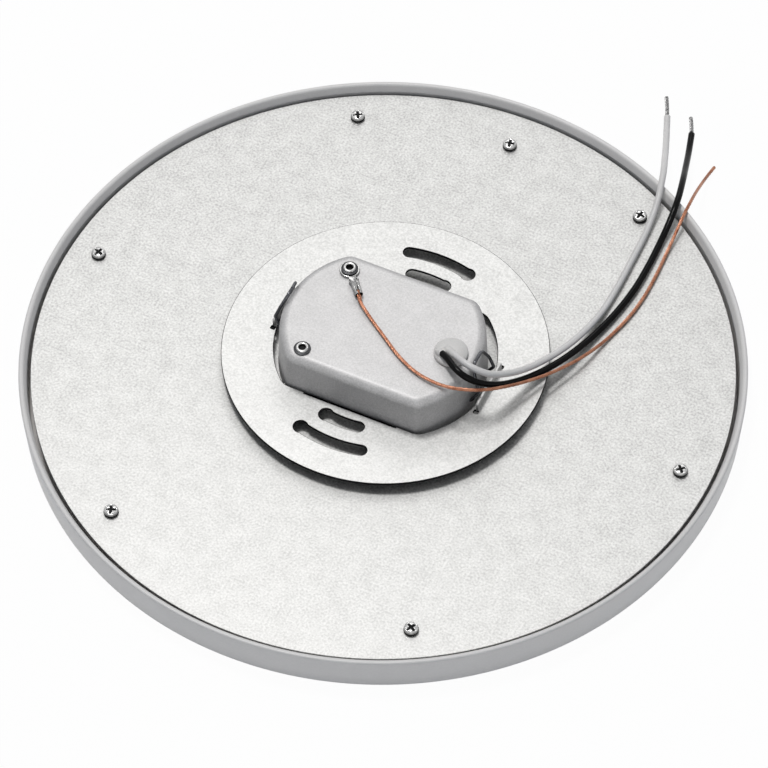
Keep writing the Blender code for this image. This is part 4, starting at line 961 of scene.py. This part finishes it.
def mounting_plate():
    """The stamped ring: its outline, opening, slots and notches, with tabs bent up and flanges bent down."""
    bottom, top = MOUNT_BOTTOM, MOUNT_BOTTOM + MOUNT_THICKNESS
    holes = [box_outline(OPENING_END, OPENING_HALF_WIDTH, OPENING_CURVE, OPENING_CORNER)]
    for radius, head, tail in SLOTS:
        slot = slot_outline(radius, head, tail)
        holes += [slot, -slot]
    near, far = OPENING_END - FIT, OPENING_END + NOTCH_WIDTH
    for side, start in TAB_NEAR_ENDS:
        for end, reach in ((start, start - NOTCH_LENGTH), (TAB_FAR_END, TAB_FAR_END + NOTCH_LENGTH)):
            window = [(near, end), (near, reach), (far, reach), (far, end)]
            window = softened(window, [NOTCH_CORNER] * 4, steps=3, closed=True) * (side, 1)
            holes.append(window if side * end > 0 else window[::-1])
    slip = (0, MOUNT_SLIP)
    outlines = [circle(MOUNT_RADIUS, DISC_SIDES, slip), *(hole + slip for hole in holes)]
    # Painted shade: the plate's edges and lower face, and those of its flanges, take a near black, so that
    # the gap under it looks dark
    surface = plate(outlines, bottom, top, MOUNT_EDGE, under=1)
    half, height = FLANGE_HALF_LENGTH, FLANGE_HEIGHT
    flange = [(-half, 0), (half, 0), (half, height), (-half, height)]
    flange = softened(flange, FLANGE_CORNERS, steps=4, closed=True)
    flange = plate([flange], 0, MOUNT_THICKNESS, TAB_EDGE, under=1)
    for side, start in TAB_NEAR_ENDS:
        tab = [(start, 0), (TAB_FAR_END, 0), (TAB_FAR_END, TAB_HEIGHT), (start, TAB_HEIGHT)]
        tab = softened(tab, (0, 0, TAB_CORNER, TAB_CORNER), closed=True)
        tab = plate([tab], 0, MOUNT_THICKNESS, TAB_EDGE)
        inner = OPENING_END if side > 0 else -(OPENING_END + MOUNT_THICKNESS)
        surface.join(tab, upright((0, 1, 0), (1, 0, 0), (inner, MOUNT_SLIP, bottom)))
        edge = side * OPENING_HALF_WIDTH + (MOUNT_THICKNESS if side > 0 else 0)
        place = (0, MOUNT_SLIP + edge, top - FLANGE_HEIGHT)
        surface.join(flange, upright((1, 0, 0), (0, -1, 0), place))
    surface.piece(
        "mounting_plate_stamped",
        GALVANISED_STAMPED,
        PAINTED_SHADE_UNDERSIDE,
        replaces=("mounting_plate",),
        slot="galvanised_steel",
    )


def housing_levels(wall, top, shoulder):
    """Insets and heights up the box's side: its leaning wall, then the quarter circle of its shoulder."""
    bottom = HOUSING[0].z
    turn = np.linspace(0, pi / 2, SHOULDER_ROWS)
    inset = HOUSING_LEAN + shoulder * (1 - np.cos(turn))
    height = top - shoulder + shoulder * np.sin(turn)
    shares = np.linspace(0, 1, WALL_ROWS, endpoint=False)
    return [
        *((wall + HOUSING_LEAN * share, bottom + (top - shoulder - bottom) * share) for share in shares),
        *zip(wall + inset, height),
    ]


def driver_housing():
    """The drawn box: its plan carried up a leaning wall, over a round shoulder and across the top.

    The radius of the plan's corners grows with the height, up to the foot of the shoulder.
    """
    bottom = HOUSING[0].z
    outer = housing_levels(0, HOUSING_TOP, HOUSING_SHOULDER)
    inner = housing_levels(HOUSING_SHEET, HOUSING_TOP - HOUSING_SHEET, HOUSING_INNER_SHOULDER)
    rows = []
    for less, height in (*outer[::-1], *inner):
        sizes = (size - less for size in (HOUSING[1].x, HOUSING[1].y, HOUSING_CURVE))
        climb = max(min((height - bottom) / (HOUSING_TOP - bottom - HOUSING_SHOULDER), 1), 0)
        outline = box_outline(*sizes, FOOT_CORNER + CORNER_GROWTH * climb - CORNER_SHRINK * less)
        rows.append(np.column_stack([outline, np.full(len(outline), height)]))
    surface = Surface().grid(np.stack(rows), round_columns=True)
    surface.cap(rows[0][:, :2], HOUSING_TOP)
    surface.cap(rows[-1][:, :2], HOUSING_TOP - HOUSING_SHEET)
    surface.piece("driver_housing_drawn", DRAWN_SATIN, replaces=("driver_housing",), slot="satin_alloy")


def rivets():
    """Two blind rivets: a flange whose rim is rolled over the bore, carried round.

    The bore's floor stays above the box's top, which runs on under the rivet.
    """
    for number, box in enumerate(RIVETS, start=1):
        tail = box[0].z
        base = box[1].z - RIVET_HEIGHT
        floor = max(base - RIVET_BORE_DEPTH, HOUSING_TOP + RIVET_FLOOR_LIFT)
        corners = [
            (0, tail),
            (RIVET_TAIL, tail),
            (RIVET_TAIL, tail + RIVET_TAIL_LENGTH),
            (RIVET_SHANK, tail + RIVET_TAIL_LENGTH),
            (RIVET_SHANK, base),
            *((radius, base + height) for radius, height in RIVET_HEAD),
            (RIVET_BORE, floor + RIVET_BORE_RISE),
            (0, floor),
        ]
        profile = softened(corners, RIVET_ROUNDINGS)
        radius = profile[1:, 0] / 2 + profile[:-1, 0] / 2
        # Painted shade: the flange's outer ring takes a dark grey and the bore a near black
        flange = (radius > FLANGE_PAINT_FROM) & (profile[1:, 1] > HOUSING_TOP)
        paint = np.where(flange, 1, np.where(radius < BORE_PAINT_TO, 2, 0))[:, None]
        grid = turned(profile, RIVET_SIDES, middle_of(box))
        surface = Surface().grid(grid, round_columns=True, paint=paint)
        node = f"housing_rivet_{number}"
        surface.piece(
            node + "_rolled", PLATED_STEEL, FLANGE_PAINTED_SHADE, PAINTED_SHADE_RECESS, replaces=(node,), slot="plated_steel"
        )


def ground_terminal():
    """The ring terminal: a flat ring, and a strip that curls from a flat neck into a crimped barrel.

    Across the strip its points lie on an arc whose half angle grows along the strip, and the arc's
    radius is the half width over that angle. The barrel narrows at its mouth, and the crimp presses
    the middle of its top down.
    """
    base = HOUSING_TOP + FIT
    outlines = [circle(RING_RADIUS, sides=64), circle(RING_HOLE, sides=48)[::-1]]
    surface = plate(outlines, base, base + TERMINAL_SHEET, TERMINAL_EDGE)
    run = np.linspace(STRIP_START, STRIP_END, STRIP_ROWS)[:, None]
    curl = np.clip((run - CURL_START) / CURL_LENGTH, 0, 1)
    curl = curl * curl * (3 - 2 * curl)
    mouth = np.clip((run - MOUTH_START) / MOUTH_LENGTH, 0, 1)
    half_angle = CURL_ANGLES[0] + (CURL_ANGLES[1] - CURL_ANGLES[0]) * curl
    width = NECK_WIDTH + (BARREL_WIDTH - NECK_WIDTH) * curl - MOUTH_NARROWING * mouth
    radius = width / half_angle
    across = np.linspace(-1, 1, STRIP_COLUMNS)[None] * half_angle
    sheets = []
    for skin in (0, TERMINAL_SHEET * INNER_SKIN_SHARE):
        y = (radius - skin) * np.sin(across)
        z = radius - (radius - skin) * np.cos(across)
        crimp = np.exp(-(((run - CRIMP_AT) / CRIMP_LENGTH) ** 4)) * np.exp(-((y / CRIMP_HALF_WIDTH) ** 2))
        z = z - CRIMP_DEPTH * crimp * np.clip(z / CRIMP_RISE - CRIMP_RISE_FROM, 0, 1)
        squash = 1 - SQUASH_SHARE * np.exp(-(((run - CRIMP_AT) / SQUASH_LENGTH) ** 4))
        sheets.append(np.stack([np.broadcast_to(run, y.shape), y, base + z * squash], axis=-1))
    ring = np.concatenate([sheets[0], sheets[1][:, ::-1]], axis=1)
    middle = [(ring[i : i + 1] + ring[i : i + 1, ::-1]) / 2 for i in (0, -1)]
    surface.grid(np.concatenate([middle[0], ring, middle[1]]), round_columns=True)
    turn = Matrix.Rotation(radians(TERMINAL_DEGREES), 4, "Z")
    turn = Matrix.Translation((*middle_of(RIVETS[0]), 0)) @ turn
    piece = Surface().join(surface, turn)
    piece.piece("ground_terminal_crimped", TINNED_BRASS, replaces=("ground_terminal",), slot="tinned_metal")


def lead_bushing():
    """The bushing: a dome with a raised hood over the start of each lead, on a barbed neck.

    The dome's height is a quarter ellipse of the radius. Each hood is a round ridge over the lead's
    first stretch, and the higher of the surfaces counts, eased where they meet.
    """
    centre = middle_of(BUSHING)
    base = HOUSING_TOP + FIT
    radius = DOME_RADIUS * np.sin(np.linspace(0, pi / 2, DOME_ROWS))[:, None]
    angle = around(DOME_SIDES)
    x = centre[0] + radius * np.cos(angle)
    y = centre[1] + radius * np.sin(angle)
    rise = np.sqrt(np.clip(1 - (radius / DOME_RADIUS) ** 2, 0, 1))
    height = np.broadcast_to(DOME_FOOT + DOME_RISE * rise, x.shape)
    for route, stretch in ((WHITE_ROUTE, WHITE_HOOD_LENGTH), (BLACK_ROUTE, BLACK_HOOD_LENGTH)):
        path = smooth_route(route, HOOD_STEP)[: int(stretch / HOOD_STEP) + 1]
        gap = np.hypot(x[..., None] - path[:, 0], y[..., None] - path[:, 1])
        reach = gap.min(axis=-1)
        crest = path[gap.argmin(axis=-1), 2] - base
        hood = crest + np.sqrt(np.clip(HOOD_RADIUS**2 - reach**2, 0, None)) - HOOD_DROP
        hood = np.where(reach < HOOD_RADIUS, hood, 0)
        ease = np.clip(0.5 + 0.5 * (hood - height) / HOOD_EASE, 0, 1)
        height = height * (1 - ease) + hood * ease + HOOD_EASE * ease * (1 - ease)
    grid = np.stack([x, y, base + height], axis=-1)
    below = turned(NECK_SECTION, DOME_SIDES, centre, base)
    surface = Surface().grid(np.concatenate([grid, below]), round_columns=True)
    surface.piece("lead_bushing_moulded", NATURAL_NYLON, replaces=("lead_bushing",), slot="natural_nylon")


def clips():
    """The two spring clips: a round wire along its corners, each rounded as the wire is bent."""
    corners = np.array([*CLIP_CORNERS, *((x, -y, z) for x, y, z in reversed(CLIP_CORNERS))])
    for name, side in (("clip_left", -1), ("clip_right", 1)):
        mirror = np.array((side, 1, 1))
        line = softened(corners * mirror, CLIP_BENDS + CLIP_BENDS[::-1], CLIP_BEND_STEPS)
        line += CLIP_AXIS * mirror + (0, 0, PLATE_TOP)
        section = np.full(CLIP_SIDES, CLIP_WIRE_RADIUS)
        grid = carried(line, section, reference=CLIP_SIDE_HINT * mirror)
        surface = Surface().grid(grid, round_columns=True)
        surface.piece(
            name + "_wire", SPRING_WIRE, body=name + "_body", replaces=(name,), slot="spring_steel"
        )


def dress_nodes():
    """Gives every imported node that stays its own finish."""
    for material, names in (
        (GALVANISED_STAMPED, ("housing_bracket",)),
        (SILVER_PAINT, ("led_carrier_ring",)),
        (OPAL_PLASTIC, ("diffuser_lens",)),
        (CLEAR_ACRYLIC, ("light_guide_plate",)),
        (WHITE_FILM, ("reflector_sheet", "led_strip", "fuse")),
        (GREY_FOAM, ("backing_foam",)),
        (WHITE_VINYL, ("white_lead_inner",)),
        (BLACK_VINYL, ("black_lead_inner", "led_lead_black")),
        (RED_VINYL, ("led_lead_red",)),
        (BOARD_LAMINATE, ("driver_board",)),
        (BLACK_RESIN, ("rectifier", "controller_chip")),
        (BLACK_SLEEVE, ("board_insulator", "bulk_capacitor", "output_capacitor")),
        (YELLOW_TAPE, ("transformer",)),
        (BLUE_COATING, ("film_capacitor",)),
        (FERRITE, ("choke",)),
    ):
        for name in names:
            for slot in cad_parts[name].material_slots:
                slot.material = material


aim_camera()
plain_studio()
supply_lead("white_lead", WHITE_ROUTE, WHITE_TIP, WHITE_VINYL, "white_insulation")
supply_lead("black_lead", BLACK_ROUTE, BLACK_TIP, BLACK_VINYL, "black_insulation")
ground_lead()
rim_frame()
back_plate()
back_screws()
mounting_plate()
driver_housing()
rivets()
ground_terminal()
lead_bushing()
clips()
dress_nodes()
